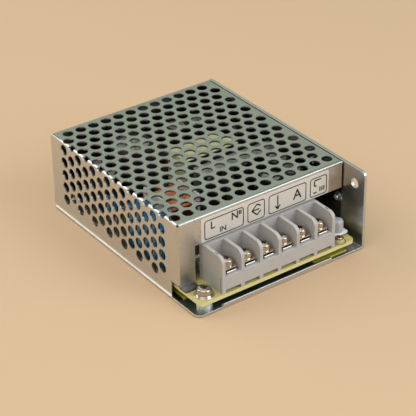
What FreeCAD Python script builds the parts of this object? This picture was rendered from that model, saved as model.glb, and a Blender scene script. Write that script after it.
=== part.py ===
import FreeCAD, Part
import math
import os

os.makedirs("parts", exist_ok=True)

V = FreeCAD.Vector
UP = V(0, 0, 1)

# All sizes are millimetres. The model is drawn from the floor's front left corner,
# with X along the terminal edge, Y to the back and Z up, and is centred when it is saved.

# Chassis: floor and right wall, one folded sheet
case_width = 82.0
case_length = 104.0
case_height = 35.0
chassis_sheet = 1.2
chassis_bend = 1.8
floor_corner = 3.0
wall_corner = 2.2
lip_start = 11.3
lip_end = 66.0
lip_height = 2.3
lip_sheet = 1.0
wall_hole_y = 5.8
wall_hole_z = 28.0
wall_hole_r = 2.2
collar_y = 15.3
collar_z = 17.5
collar_spacing = 70.0
collar_r = 2.0
collar_depth = 1.5
thread_r = 1.25
floor_hole_r = 1.7
floor_hole_x = 13.0
floor_hole_y = 24.5
floor_hole_pitch_x = 56.0
floor_hole_pitch_y = 55.0

# Mesh cover: top, left side, back, front flange and corner strip, one folded sheet
cover_sheet = 0.8
cover_bend = 1.1
cover_left = 0.9
cover_front = 13.0
cover_back_inset = 1.4
cover_wall_gap = 0.15
flange_height = 12.0
right_flange_height = 8.0
strip_width = 7.6
slit = 0.3
relief_r = 0.55
foot_reach = 3.3
foot_side_gap = 0.7
notch_length = 4.7
notch_top = 8.0
tongue_length = 8.0
tongue_gap = 0.2
tongue_y = 30.0
tongue_spacing = 50.0
cover_screw_r = 1.5
cover_screw_head_r = 2.6
cover_screw_drop = 4.5
cover_screw_y = 27.0
cover_screw_spacing = 60.0
cover_screw_length = 4.5

# Flats that round forms are drawn with
bend_flats = 2
can_sides = 12
turned_sides = 8
screw_sides = 8
wire_sides = 6

# Punched pattern
hole_width = 4.65
hole_pitch = 6.15
punch_sides = 5
row_count = 16
row_holes = 13
first_row = 5.05
first_hole = 1.85
side_pitch = 5.85
side_drop = 0.4
side_holes = 5
over_bend = 0.85

# Front label
label_left = 11.4
label_length = 62.0
label_height = 10.3
label_bottom_margin = 0.2
label_film = 0.15

# Circuit board and its supports
board_left = 2.0
board_front = 0.5
board_right = case_width - 4.6
board_cover_gap = 0.3
board_back = case_length - cover_back_inset - cover_sheet - board_cover_gap
board_thick = 1.6
standoff_height = 3.2
standoff_r = 3.1
board_corner = 2.0
screw_r = 1.45
screw_hole_r = 1.8
support_edge_x = 4.8
support_edge_y = 4.7
support_side_y = 28.0
washer_r = 4.0
washer_thick = 0.6
screw_head_r = 3.1
screw_head_height = 2.8
head_taper = 0.75
sheet_thick = 0.4
sheet_front = 13.0
sheet_tongue_left = 58.0
sheet_tongue_right = 74.2
sheet_tongue_front = 1.8

# Terminal block
terminal_count = 6
terminal_pitch = 8.9
block_left = 12.2
block_front = 0.7
block_depth = 14.8
block_wall = 1.5
block_body_height = 8.0
block_top_gap = 1.0
block_nose_r = 3.0
block_foot_gap = 0.7
block_back_wall = 3.2
plate_width = 6.2
plate_thick = 0.9
plate_inset = 0.4
pin_width = 3.0
pin_below_board = 1.2
clamp_y = 5.4
clamp_side = 6.0
clamp_thick = 0.8
clamp_seat = 0.1
terminal_head_r = 2.8
terminal_head_height = 2.2
terminal_shank = 6.5
terminal_thread_r = 1.45
running_gap = 0.06

# Indicator lamp and voltage trimmer
lamp_x = 74.0
lamp_y = 7.6
lamp_r = 2.5
lamp_rim_r = 3.1
lamp_rim_height = 1.0
lamp_stand = 1.0
lamp_height = 6.1
dome_steps = 2
trimmer_x = 71.2
trimmer_y = 3.1
trimmer_r = 2.1
trimmer_height = 1.6
rotor_r = 1.4
rotor_height = 1.2
rotor_sink = 0.7

# Transformer
core_left = 39.5
core_width = 26.0
core_y = 68.5
core_depth = 13.0
core_height = 18.0
core_back = 4.0
core_leg = 3.8
core_centre_leg = 8.0
core_air = 0.05
bobbin_stand = 2.4
bobbin_wall = 0.9
winding_depth = 22.0
winding_height = 9.2
winding_corner = 3.0
tape_thick = 0.25
transformer_pins = 4
transformer_pin_pitch = 5.0
transformer_pin_side = 0.8

# Capacitors
bulk_x = 28.5
bulk_y = board_back - 17.0
bulk_r = 9.0
bulk_height = 23.0
can_groove_height = 2.0
can_groove = 0.6
film_left = 4.0
film_width = 8.0
film_front = 28.5
film_length = 25.0
film_height = 18.0
film_corner = 0.8
can_r = 5.0
can_height = 20.0
can_pitch = 10.4
can_right = board_right - 6.8
can_front_y = 33.0
can_back_x = 54.8
can_back_y = board_back - 10.5
can_places = ((can_right, can_front_y), (can_right - can_pitch, can_front_y),
              (can_right + 1, can_front_y + can_pitch), (can_back_x, can_back_y),
              (can_back_x + can_pitch + 0.3, can_back_y))
small_can_r = 4.0
small_can_height = 17.0
small_can_x = 12.5
small_can_places = ((small_can_x, board_back - 12.0), (small_can_x, board_back - 22.0))
disc_r = 7.2
disc_thick = 4.0
disc_x = 20.0
disc_y = 33.0
disc_stand = 1.4
wire_r = 0.4
wire_pitch = 5.0
safety_r = 3.6
safety_thick = 3.0
safety_x = 5.2
safety_y = 65.0
safety_stand = 8.5

# Mains choke
choke_x = 25.0
choke_y = 52.0
choke_width = 22.0
choke_depth = 18.0
choke_height = 17.0
choke_leg = 5.0
choke_yoke = 3.5
choke_flange = 1.0
coil_corner = 1.2
choke_coil_side = 1.6
choke_coil_rise = 3.6
choke_core_gap = 0.05

# Heat sink and what is clamped to it
sink_left = 38.0
sink_right = board_right - 1.4
sink_face_y = 53.6
sink_sheet = 1.5
sink_height = 21.5
sink_flange = 6.0
power_xs = (45.0, 62.0)
package_width = 10.0
package_depth = 3.2
package_height = 9.0
package_tab = 1.3
package_tab_height = 15.0
package_stand = 3.6
lead_pitch = 2.54
lead_side = 0.7
pad_thick = 0.3
clip_screw_r = 1.4
clip_head_r = 2.6
clip_head = 1.6

# Other small parts
fuse_left = 13.0
fuse_length = 20.0
fuse_y = 21.0
fuse_r = 2.4
fuse_cap = 5.0
fuse_cap_wall = 0.25
fuse_lift = 1.2
clip_width = 4.0
clip_sheet = 0.4
bridge_x = 40.0
bridge_y = 31.0
bridge_width = 15.0
bridge_depth = 3.6
bridge_height = 11.0
bridge_stand = 2.5
thermistor_x = 41.0
thermistor_y = 21.0
thermistor_r = 4.6
thermistor_thick = 4.0
inductor_x = 43.8
inductor_y = board_back - 11.5
inductor_r = 5.5
inductor_neck_r = 3.2
inductor_height = 11.0
inductor_flange = 1.6
chip_height = 3.3
chip_stand = 0.6
chip_leg_pitch = 2.54
resistor_r = 1.1
resistor_length = 6.5
resistor_lift = 0.3
optocoupler_place = (29.6, 27.8)
control_chip_place = (50.0, 40.0)
resistor_places = ((22.0, 70.0), (50.0, 24.0), (50.0, 46.5), (13.0, 73.5))

# What follows from the sizes above
floor_top = chassis_sheet
board_bottom = floor_top + standoff_height
board_top = board_bottom + board_thick
wall_inner = case_width - chassis_sheet
cover_right = wall_inner - cover_wall_gap
cover_back = case_length - cover_back_inset
cover_inner = case_height - cover_sheet
hole_r = hole_width / 2
row_pitch = hole_pitch * math.sqrt(3) / 2
block_top = case_height - flange_height - block_top_gap
bay_floor = board_top + block_body_height
block_right = block_left + terminal_count * terminal_pitch + block_wall
block_back = block_front + block_depth
plate_top = bay_floor + plate_thick
clamp_bottom = plate_top + clamp_seat
clamp_top = clamp_bottom + clamp_thick


def box(x0, x1, y0, y1, z0, z1):
    return Part.makeBox(x1 - x0, y1 - y0, z1 - z0, V(x0, y0, z0))


def frustum(start, axis, length, r0, r1, sides):
    """Turned form drawn with flats, its corners on the radii, from start along axis."""
    across = UP if abs(axis.z) < 0.5 else V(1, 0, 0)
    up = axis.cross(across)
    rings = []
    for reach, radius in ((0, r0), (length, r1)):
        ring = []
        for k in range(sides):
            angle = 2 * math.pi * (k + 0.5) / sides
            turn = across * math.cos(angle) + up * math.sin(angle)
            ring.append(start + axis * reach + turn * radius)
        rings.append(ring)
    low, high = rings
    faces = [face_of(low), face_of(high)]
    for k in range(sides):
        faces.append(face_of([low[k - 1], low[k], high[k], high[k - 1]]))
    solid = Part.Solid(Part.Shell(faces))
    if solid.Volume < 0:
        solid.reverse()
    return solid


def face_of(points):
    return Part.Face(Part.makePolygon(points + points[:1]))


def rod(x, y, z0, z1, radius, sides):
    return frustum(V(x, y, z0), UP, z1 - z0, radius, radius, sides)


def rod_x(x0, x1, y, z, radius, sides):
    return frustum(V(x0, y, z), V(1, 0, 0), x1 - x0, radius, radius, sides)


def rod_y(x, y0, y1, z, radius, sides):
    return frustum(V(x, y0, z), V(0, 1, 0), y1 - y0, radius, radius, sides)


def clear_of(radius, sides):
    """Corner radius of a hole whose flats stay clear of a shaft of that radius."""
    return (radius + running_gap) / math.cos(math.pi / sides)


def true_round(start, axis, length, radius):
    """True cylinder, for a hole that takes a standard screw and for what turns."""
    return Part.makeCylinder(radius, length, start, axis)


def rounded(corners, radii):
    """Points of a flat outline, with each bend drawn by a few flats."""
    points = []
    count = len(corners)
    for i in range(count):
        here = V(*corners[i])
        radius = radii.get(i, 0)
        if not radius:
            points.append(here)
            continue
        back = (V(*corners[i - 1]) - here).normalize()
        ahead = (V(*corners[(i + 1) % count]) - here).normalize()
        half = back.getAngle(ahead) / 2
        centre = here + (back + ahead).normalize() * (radius / math.sin(half))
        start = here + back * (radius / math.tan(half)) - centre
        sweep = math.pi - 2 * half
        if start.cross(here - centre).z < 0:
            sweep = -sweep
        for k in range(bend_flats + 1):
            angle = sweep * k / bend_flats
            c = math.cos(angle)
            s = math.sin(angle)
            points.append(centre + V(start.x * c - start.y * s, start.x * s + start.y * c))
    return points


def block_xz(corners, radii, y0, y1):
    points = [V(p.x, y0, p.y) for p in rounded(corners, radii)]
    return face_of(points).extrude(V(0, y1 - y0, 0))


def block_yz(corners, radii, x0, x1):
    points = [V(x0, p.x, p.y) for p in rounded(corners, radii)]
    return face_of(points).extrude(V(x1 - x0, 0, 0))


def block_xy(corners, radii, z0, z1):
    points = [V(p.x, p.y, z0) for p in rounded(corners, radii)]
    return face_of(points).extrude(V(0, 0, z1 - z0))


def rectangle(a0, a1, b0, b1):
    return [(a0, b0), (a1, b0), (a1, b1), (a0, b1)]


def prism(points, reach):
    """Extrude a closed outline of points along the vector reach."""
    corners = [V(*point) for point in points]
    wire = Part.makePolygon(corners + corners[:1])
    return Part.Face(wire).extrude(reach)


def chamfer(shape, width, chosen):
    """Flatten the straight edges whose middle passes the test chosen."""
    edges = [edge for edge in shape.Edges if chosen(edge.CenterOfMass)]
    return shape.makeChamfer(width, edges)


def near(a, b):
    return abs(a - b) < 0.01


def save(name, *solids):
    """Centre the piece over the floor's middle and write it."""
    shape = solids[0] if len(solids) == 1 else Part.makeCompound(list(solids))
    shape = shape.copy()
    shape.translate(V(-case_width / 2, -case_length / 2, 0))
    shape.exportStep("parts/" + name + ".step")


def support_places():
    """Middles of the four board supports."""
    left = board_left + support_edge_x
    right = board_right - support_edge_x
    front = board_front + support_edge_y
    back = board_back - support_edge_y
    return ((left, front), (left, back), (right, back), (right, support_side_y - support_edge_y))


def bay_centre(index):
    return block_left + block_wall / 2 + terminal_pitch * (index + 0.5)


def floor_hole_places():
    return [(floor_hole_x + floor_hole_pitch_x * i, floor_hole_y + floor_hole_pitch_y * j)
            for i in (0, 1) for j in (0, 1)]


def tongue_places():
    return (tongue_y, tongue_y + tongue_spacing)


def cover_screw_places():
    return (cover_screw_y, cover_screw_y + cover_screw_spacing)


def make_chassis():
    """Floor, right wall and turned-up front lip of one sheet."""
    section = [(0, 0), (case_width, 0), (case_width, case_height), (wall_inner, case_height),
               (wall_inner, floor_top), (0, floor_top)]
    bends = {1: chassis_bend, 4: chassis_bend - chassis_sheet}
    sheet = block_xz(section, bends, 0, case_length)
    sheet = sheet.common(block_xy(rectangle(0, case_width, 0, case_length),
                                  {0: floor_corner, 3: floor_corner}, 0, case_height))
    sheet = sheet.common(block_yz(rectangle(0, case_length, 0, case_height),
                                  {2: wall_corner, 3: wall_corner}, 0, case_width))
    lip = prism([(lip_start, 0, 0), (lip_end, 0, 0), (lip_end, 0, floor_top),
                 (lip_end - lip_sheet, 0, lip_height), (lip_start + lip_sheet, 0, lip_height),
                 (lip_start, 0, floor_top)], V(0, lip_sheet, 0))
    sheet = sheet.fuse(lip).removeSplitter()
    cuts = [true_round(V(x, y, -1), UP, floor_top + 2, floor_hole_r)
            for x, y in floor_hole_places()]
    for y in tongue_places():
        cuts.append(box(cover_left - tongue_gap, cover_left + cover_sheet + tongue_gap,
                        y - tongue_gap, y + tongue_length + tongue_gap, -1, floor_top + 1))
    across = V(1, 0, 0)
    cuts.append(true_round(V(wall_inner - 1, wall_hole_y, wall_hole_z), across,
                           chassis_sheet + 2, wall_hole_r))
    screw_z = case_height - cover_screw_drop
    for y in cover_screw_places():
        cuts.append(frustum(V(wall_inner, y, screw_z), across, chassis_sheet,
                            cover_screw_r, cover_screw_head_r, screw_sides))
    for y in (collar_y, collar_y + collar_spacing):
        collar = rod_x(wall_inner - collar_depth, wall_inner, y, collar_z, collar_r, turned_sides)
        sheet = sheet.fuse(collar)
        cuts.append(true_round(V(wall_inner - collar_depth - 1, y, collar_z), across,
                               chassis_sheet + collar_depth + 2, thread_r))
    return sheet.cut(Part.makeCompound(cuts))


def punch(centre, normal, turn):
    """Punch with flats and the round hole's area, centred at a point of the outer face."""
    side = normal.cross(V(0, 1, 0))
    step = 2 * math.pi / punch_sides
    radius = hole_r * math.sqrt(step / math.sin(step))
    points = []
    for k in range(punch_sides):
        angle = step * (k + turn)
        offset = side * (radius * math.cos(angle)) + V(0, radius * math.sin(angle), 0)
        points.append(centre + offset - normal)
    return prism([tuple(p) for p in points], normal * (cover_sheet + 2))


def top_punches():
    """Staggered rows; in every second row a hole runs over the left bend, its middle outside."""
    cutters = []
    for row in range(row_count):
        odd = row % 2
        y = cover_front + first_row + row * row_pitch
        blank_end = 1 if row == row_count - 1 else 0
        for k in range(blank_end, row_holes):
            x = cover_left + first_hole + (k - odd / 2) * hole_pitch
            if odd and k == 0:
                x = cover_left - over_bend
            cutters.append(punch(V(x, y, case_height), V(0, 0, -1), 0.5))
    return cutters


def side_punches():
    """The same rows carry on down the left side as columns."""
    cutters = []
    for row in range(1, row_count - 1):
        even = 1 - row % 2
        y = cover_front + first_row + row * row_pitch
        for k in range(side_holes):
            z = case_height - side_drop - (k + even / 2) * side_pitch
            if not even and k == 0:
                z = case_height + over_bend
            cutters.append(punch(V(cover_left, y, z), V(1, 0, 0), 0.5))
    return cutters


def folded_box(inset, radius):
    """Closed form of the cover's outside, or of its inside one sheet further in."""
    left = cover_left + inset
    right = cover_right - inset
    front = cover_front + inset
    back = cover_back - inset
    low = floor_top - inset
    top = case_height - inset
    form = block_xz(rectangle(left, right, low, top), {2: radius, 3: radius}, front, back)
    form = form.common(block_yz(rectangle(front, back, low, top), {2: radius, 3: radius},
                                left, right))
    return form.common(block_xy(rectangle(left, right, front, back), {0: radius}, low, top))


def make_mesh_cover():
    """Folded perforated cover with its front flange, corner strip and foot."""
    outer = folded_box(0, cover_bend)
    inner = folded_box(cover_sheet, cover_bend - cover_sheet)
    shell = outer.cut(inner)
    strip_right = cover_left + strip_width
    flange_bottom = case_height - flange_height
    past = cover_right + 1
    cuts = [
        box(strip_right, past, cover_front - 1, cover_front + cover_bend, 0, flange_bottom),
        box(cover_right - cover_bend, past, cover_front + cover_sheet, cover_back - cover_bend,
            0, case_height - right_flange_height),
        box(cover_left - 1, strip_right, cover_front - 1, cover_front + notch_length,
            0, board_top),
        box(cover_left - 1, cover_left + cover_bend, cover_front - 1,
            cover_front + notch_length, 0, notch_top),
        box(cover_left + cover_sheet, cover_left + cover_sheet + slit,
            cover_back - cover_sheet - slit, cover_back + 1, 0, cover_inner - cover_bend),
        rod(cover_left + cover_bend / 2, cover_front + cover_bend / 2, cover_inner - 1,
            case_height + 1, relief_r, wire_sides),
    ]
    screw_z = case_height - cover_screw_drop
    for y in cover_screw_places():
        cuts.append(rod_x(cover_right - cover_sheet - 1, past, y, screw_z,
                          clear_of(cover_screw_r, screw_sides), screw_sides))
    shell = shell.cut(Part.makeCompound(cuts))
    foot = box(cover_left + foot_side_gap, strip_right - foot_side_gap / 2,
               cover_front - foot_reach, cover_front + cover_sheet,
               board_top, board_top + cover_sheet)
    shell = shell.fuse(foot)
    for y in tongue_places():
        tongue = box(cover_left, cover_left + cover_sheet, y, y + tongue_length,
                     tongue_gap, floor_top)
        shell = shell.fuse(tongue)
    shell = shell.removeSplitter()
    return shell.cut(Part.makeCompound(top_punches() + side_punches()))


def make_cover_screws():
    screws = []
    screw_z = case_height - cover_screw_drop
    for y in cover_screw_places():
        head = frustum(V(wall_inner, y, screw_z), V(1, 0, 0), chassis_sheet,
                       cover_screw_r, cover_screw_head_r, screw_sides)
        shank = rod_x(wall_inner - cover_screw_length, wall_inner, y, screw_z,
                      cover_screw_r - running_gap, screw_sides)
        screws.append(head.fuse(shank))
    return screws


def make_front_label():
    bottom = case_height - flange_height + label_bottom_margin
    return box(label_left, label_left + label_length, cover_front - label_film, cover_front,
               bottom, bottom + label_height)


def make_insulating_sheet():
    """Thin sheet on the floor under the board, with a tongue to the front edge."""
    margin = board_left + 1
    outline = [(margin, sheet_front, floor_top), (sheet_tongue_left, sheet_front, floor_top),
               (sheet_tongue_left, sheet_tongue_front, floor_top),
               (sheet_tongue_right, sheet_tongue_front, floor_top),
               (sheet_tongue_right, board_back, floor_top), (margin, board_back, floor_top)]
    sheet = prism(outline, V(0, 0, sheet_thick))
    clear = standoff_r + 0.3
    cuts = [box(x - clear, x + clear, y - clear, y + clear, 0, floor_top + 1)
            for x, y in support_places()]
    return sheet.cut(Part.makeCompound(cuts))


def make_standoffs():
    """Riveted pillars that carry the board."""
    pillars = []
    for x, y in support_places():
        pillars.append(rod(x, y, floor_top, board_bottom, standoff_r, turned_sides))
    return pillars


def make_board_screws():
    screws = []
    seat = board_top + washer_thick
    for x, y in support_places():
        head = frustum(V(x, y, seat), UP, screw_head_height, screw_head_r,
                       screw_head_r * head_taper, screw_sides)
        shank = rod(x, y, board_bottom, seat, screw_r, wire_sides)
        screws.append(head.fuse(shank))
    return screws


def make_board_washers():
    washers = []
    for x, y in support_places():
        washer = rod(x, y, board_top, board_top + washer_thick, washer_r, screw_sides)
        washers.append(washer.cut(rod(x, y, board_top - 1, board_top + 2,
                                      clear_of(screw_r, wire_sides), wire_sides)))
    return washers


def transformer_pin_places():
    """Two rows of pins against the outer faces of the bobbin's rails."""
    middle = core_left + core_width / 2
    start = middle - transformer_pin_pitch * (transformer_pins - 1) / 2
    reach = winding_depth / 2 + transformer_pin_side / 2
    return [(start + k * transformer_pin_pitch, core_y + side * reach)
            for k in range(transformer_pins) for side in (-1, 1)]


def make_board():
    board = block_xy(rectangle(board_left, board_right, board_front, board_back),
                     {1: board_corner, 2: board_corner}, board_bottom, board_top)
    cuts = [rod(x, y, board_bottom - 1, board_top + 1, screw_hole_r, wire_sides)
            for x, y in support_places()]
    for index in range(terminal_count):
        x = bay_centre(index)
        y = block_back - block_back_wall
        half = pin_width / 2 + 0.1
        cuts.append(box(x - half, x + half, y - 0.1, y + plate_thick + 0.1,
                        board_bottom - 1, board_top + 1))
    return board.cut(Part.makeCompound(cuts))


def make_terminal_block():
    """Moulded body with seven barriers, open bays and feet under the barriers."""
    body = box(block_left, block_right, block_front, block_back, board_top, bay_floor)
    back = box(block_left, block_right, block_back - block_back_wall, block_back,
               board_top, block_top)
    body = body.fuse(back)
    for index in range(terminal_count + 1):
        x = block_left + index * terminal_pitch
        side = rectangle(block_front, block_back, board_top, block_top)
        body = body.fuse(block_yz(side, {3: block_nose_r}, x, x + block_wall))
    body = body.removeSplitter()
    cuts = []
    for index in range(terminal_count):
        left = block_left + index * terminal_pitch + block_wall
        right = left + terminal_pitch - block_wall
        cuts.append(box(left + 0.2, right - 0.2, block_front - 1,
                        block_back - block_back_wall - 1, board_top - 1,
                        board_top + block_foot_gap))
        x = bay_centre(index)
        half = terminal_thread_r + 0.5
        cuts.append(box(x - half, x + half, clamp_y - half, clamp_y + half,
                        board_top + 1.5, bay_floor + 1))
        half = pin_width / 2 + 0.1
        y = block_back - block_back_wall
        cuts.append(box(x - half, x + half, y - 0.1, y + plate_thick + 0.1,
                        board_top - 1, plate_top + 0.1))
        half = plate_width / 2 + 0.1
        cuts.append(box(x - half, x + half, y - 0.1, y + plate_thick + 0.1,
                        bay_floor, plate_top + 0.1))
    return body.cut(Part.makeCompound(cuts))


def make_terminal_plates():
    """Bent contact plates: a flat in each bay and a pin through the board."""
    plates = []
    for index in range(terminal_count):
        x = bay_centre(index)
        y = block_back - block_back_wall
        half = plate_width / 2
        plate = box(x - half, x + half, block_front + plate_inset, y + plate_thick,
                    bay_floor, plate_top)
        pin = box(x - pin_width / 2, x + pin_width / 2, y, y + plate_thick,
                  board_bottom - pin_below_board, bay_floor)
        plate = plate.fuse(pin).removeSplitter()
        plates.append(plate.cut(rod(x, clamp_y, bay_floor - 1, plate_top + 1,
                                    clear_of(terminal_thread_r, wire_sides), wire_sides)))
    return plates


def make_clamp_washer(index):
    x = bay_centre(index)
    half = clamp_side / 2
    washer = box(x - half, x + half, clamp_y - half, clamp_y + half, clamp_bottom, clamp_top)
    return washer.cut(rod(x, clamp_y, clamp_bottom - 1, clamp_top + 1,
                          clear_of(terminal_thread_r, wire_sides), wire_sides))


def make_terminal_screw(index):
    x = bay_centre(index)
    seat = clamp_top + running_gap
    head = frustum(V(x, clamp_y, seat), UP, terminal_head_height, terminal_head_r,
                   terminal_head_r * head_taper, screw_sides)
    shank = true_round(V(x, clamp_y, seat - terminal_shank), UP, terminal_shank,
                       terminal_thread_r)
    return head.fuse(shank)


def make_lamp():
    """Round indicator lamp with its rim, domed end and two legs."""
    base = board_top + lamp_stand
    lamp = rod(lamp_x, lamp_y, base, base + lamp_rim_height, lamp_rim_r, turned_sides)
    top = base + lamp_height - lamp_r
    lamp = lamp.fuse(rod(lamp_x, lamp_y, base, top, lamp_r, turned_sides))
    radius = lamp_r
    for step in range(1, dome_steps + 1):
        angle = math.radians(75) * step / dome_steps
        level = board_top + lamp_stand + lamp_height - lamp_r + lamp_r * math.sin(angle)
        narrower = lamp_r * math.cos(angle)
        lamp = lamp.fuse(frustum(V(lamp_x, lamp_y, top), UP, level - top, radius, narrower,
                                 turned_sides))
        top = level
        radius = narrower
    for side in (-1, 1):
        x = lamp_x + side * 1.27
        lamp = lamp.fuse(box(x - 0.25, x + 0.25, lamp_y - 0.25, lamp_y + 0.25, board_top, base))
    return lamp.removeSplitter()


def make_trimmer_body():
    top = board_top + trimmer_height
    body = rod(trimmer_x, trimmer_y, board_top, top, trimmer_r, turned_sides)
    return body.cut(rod(trimmer_x, trimmer_y, top - rotor_sink, top + 1,
                        clear_of(rotor_r, turned_sides), turned_sides))


def make_trimmer_rotor():
    base = board_top + trimmer_height - rotor_sink + running_gap
    rotor = true_round(V(trimmer_x, trimmer_y, base), UP, rotor_height, rotor_r)
    slot = box(trimmer_x - rotor_r, trimmer_x + rotor_r, trimmer_y - 0.25, trimmer_y + 0.25,
               base + rotor_height - 0.5, base + rotor_height + 1)
    return rotor.cut(slot)


def core_levels():
    base = board_top + bobbin_stand
    return base, base + core_height


def make_transformer_core():
    """Two E-shaped ferrite halves that meet at mid height."""
    low, high = core_levels()
    middle = (low + high) / 2
    right = core_left + core_width
    centre = (core_left + right) / 2
    front = core_y - core_depth / 2
    back = core_y + core_depth / 2
    halves = []
    for z0, z1 in ((low, middle - core_air / 2), (middle + core_air / 2, high)):
        half = box(core_left, right, front, back, z0, z1)
        w0 = max(z0, low + core_back)
        w1 = min(z1, high - core_back)
        gap0 = w0 - (1 if near(w0, middle + core_air / 2) else 0)
        gap1 = w1 + (1 if near(w1, middle - core_air / 2) else 0)
        for x0, x1 in ((core_left + core_leg, centre - core_centre_leg / 2),
                       (centre + core_centre_leg / 2, right - core_leg)):
            half = half.cut(box(x0, x1, front - 1, back + 1, gap0, gap1))
        halves.append(half)
    return halves


def winding_levels():
    low, high = core_levels()
    middle = (low + high) / 2
    return middle - winding_height / 2, middle + winding_height / 2


def make_transformer_bobbin():
    """Square tube on the centre leg with two flanges and a foot rail under each end."""
    low, high = winding_levels()
    centre = core_left + core_width / 2
    half_x = core_width / 2 - core_leg - 0.2
    half_y = winding_depth / 2
    tube_x = core_centre_leg / 2 + bobbin_wall
    tube_y = core_depth / 2 + bobbin_wall
    flange = 0.45
    tube = box(centre - tube_x, centre + tube_x, core_y - tube_y, core_y + tube_y, low, high)
    for z in (low, high - flange):
        tube = tube.fuse(box(centre - half_x, centre + half_x, core_y - half_y, core_y + half_y,
                             z, z + flange))
    core_front = core_y - core_depth / 2
    for y0, y1 in ((core_y - half_y, core_front - 0.3),
                   (core_y + core_depth / 2 + 0.3, core_y + half_y)):
        tube = tube.fuse(box(centre - half_x, centre + half_x, y0, y1, board_top, low))
    bore = core_centre_leg / 2 + 0.1
    bore_y = core_depth / 2 + 0.1
    tube = tube.cut(box(centre - bore, centre + bore, core_y - bore_y, core_y + bore_y,
                        low - 1, high + 1))
    return tube.removeSplitter()


def make_transformer_winding():
    """Wound coil under its yellow tape, between the bobbin's flanges."""
    low, high = winding_levels()
    centre = core_left + core_width / 2
    half_x = core_width / 2 - core_leg - 0.3
    half_y = winding_depth / 2 - 0.2
    low += 0.45
    high -= 0.45
    coil = box(centre - half_x, centre + half_x, core_y - half_y, core_y + half_y, low, high)
    coil = chamfer(coil, winding_corner, lambda c: near(c.z, (low + high) / 2))
    tube_x = core_centre_leg / 2 + bobbin_wall
    tube_y = core_depth / 2 + bobbin_wall
    return coil.cut(box(centre - tube_x, centre + tube_x, core_y - tube_y, core_y + tube_y,
                        low - 1, high + 1))


def make_transformer_tape():
    """Yellow tape wound once round the outside of the core."""
    low, high = core_levels()
    right = core_left + core_width
    front = core_y - core_depth / 2
    back = core_y + core_depth / 2
    outer = box(core_left - tape_thick, right + tape_thick, front, back,
                low - tape_thick, high + tape_thick)
    return outer.cut(box(core_left, right, front - 1, back + 1, low, high))


def make_transformer_pins():
    half = transformer_pin_side / 2
    return [box(x - half, x + half, y - half, y + half, board_top, board_top + 2)
            for x, y in transformer_pin_places()]


def make_bulk_capacitor():
    """Large capacitor standing on the board, with its rolled groove and shoulder."""
    low = board_top + can_groove_height
    high = board_top + bulk_height
    waist = bulk_r - can_groove
    can = rod(bulk_x, bulk_y, board_top, low, bulk_r, can_sides)
    can = can.fuse(rod(bulk_x, bulk_y, low, low + can_groove * 2, waist, can_sides))
    can = can.fuse(rod(bulk_x, bulk_y, low + can_groove * 2, high - can_groove, bulk_r,
                       can_sides))
    can = can.fuse(frustum(V(bulk_x, bulk_y, high - can_groove), UP, can_groove, bulk_r, waist,
                           can_sides))
    return can.removeSplitter()


def make_film_capacitor():
    case = box(film_left, film_left + film_width, film_front, film_front + film_length,
               board_top, board_top + film_height)
    return chamfer(case, film_corner, lambda c: near(c.z, board_top) is False)


def make_cans(places, radius, height):
    top = board_top + height
    cans = []
    for x, y in places:
        can = rod(x, y, board_top, top - can_groove, radius, turned_sides)
        cans.append(can.fuse(frustum(V(x, y, top - can_groove), UP, can_groove, radius,
                                     radius - can_groove, turned_sides)))
    return cans


def make_varistor():
    """Dipped disc standing on two wires, facing the terminals."""
    z = board_top + disc_stand + disc_r
    disc = rod_y(disc_x, disc_y - disc_thick / 2, disc_y + disc_thick / 2, z, disc_r, can_sides)
    for side in (-1, 1):
        x = disc_x + side * wire_pitch / 2
        disc = disc.fuse(box(x - wire_r, x + wire_r, disc_y - wire_r, disc_y + wire_r,
                             board_top, z - disc_r / 2))
    return disc.removeSplitter()


def make_safety_capacitor():
    """Small dipped disc on two wires beside the left side plate."""
    z = board_top + safety_stand + safety_r
    half = safety_thick / 2
    disc = rod_x(safety_x - half, safety_x + half, safety_y, z, safety_r, turned_sides)
    for side in (-1, 1):
        y = safety_y + side * wire_pitch / 2
        disc = disc.fuse(box(safety_x - wire_r, safety_x + wire_r, y - wire_r, y + wire_r,
                             board_top, z - safety_r / 2))
    return disc.removeSplitter()


def choke_axis_ys():
    inset = choke_leg / 2 + choke_coil_side
    return choke_y - choke_depth / 2 + inset, choke_y + choke_depth / 2 - inset


def choke_axis_z():
    return board_top + choke_height / 2


def choke_window():
    """Ends of the window between the two yokes of the choke's core."""
    return choke_x - choke_width / 2 + choke_yoke, choke_x + choke_width / 2 - choke_yoke


def make_choke_core():
    """Ferrite frame that lies flat, with a long leg through each coil."""
    left, right = choke_window()
    y0, y1 = choke_axis_ys()
    half = choke_leg / 2
    z = choke_axis_z()
    ring = box(left - choke_yoke, right + choke_yoke, y0 - half, y1 + half, z - half, z + half)
    return ring.cut(box(left, right, y0 + half, y1 - half, z - half - 1, z + half + 1))


def make_choke_windings():
    """Two coils of copper wire round the long legs of the core."""
    coils = []
    half = choke_leg / 2 + choke_core_gap
    side = choke_leg / 2 + choke_coil_side
    z = choke_axis_z()
    low = z - choke_leg / 2 - choke_coil_rise
    high = z + choke_leg / 2 + choke_coil_rise
    left, right = choke_window()
    left += choke_flange
    right -= choke_flange
    for y in choke_axis_ys():
        coil = box(left, right, y - side, y + side, low, high)
        coil = chamfer(coil, coil_corner, lambda c: near(c.x, (left + right) / 2))
        coils.append(coil.cut(box(left - 1, right + 1, y - half, y + half, z - half, z + half)))
    return coils


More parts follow.
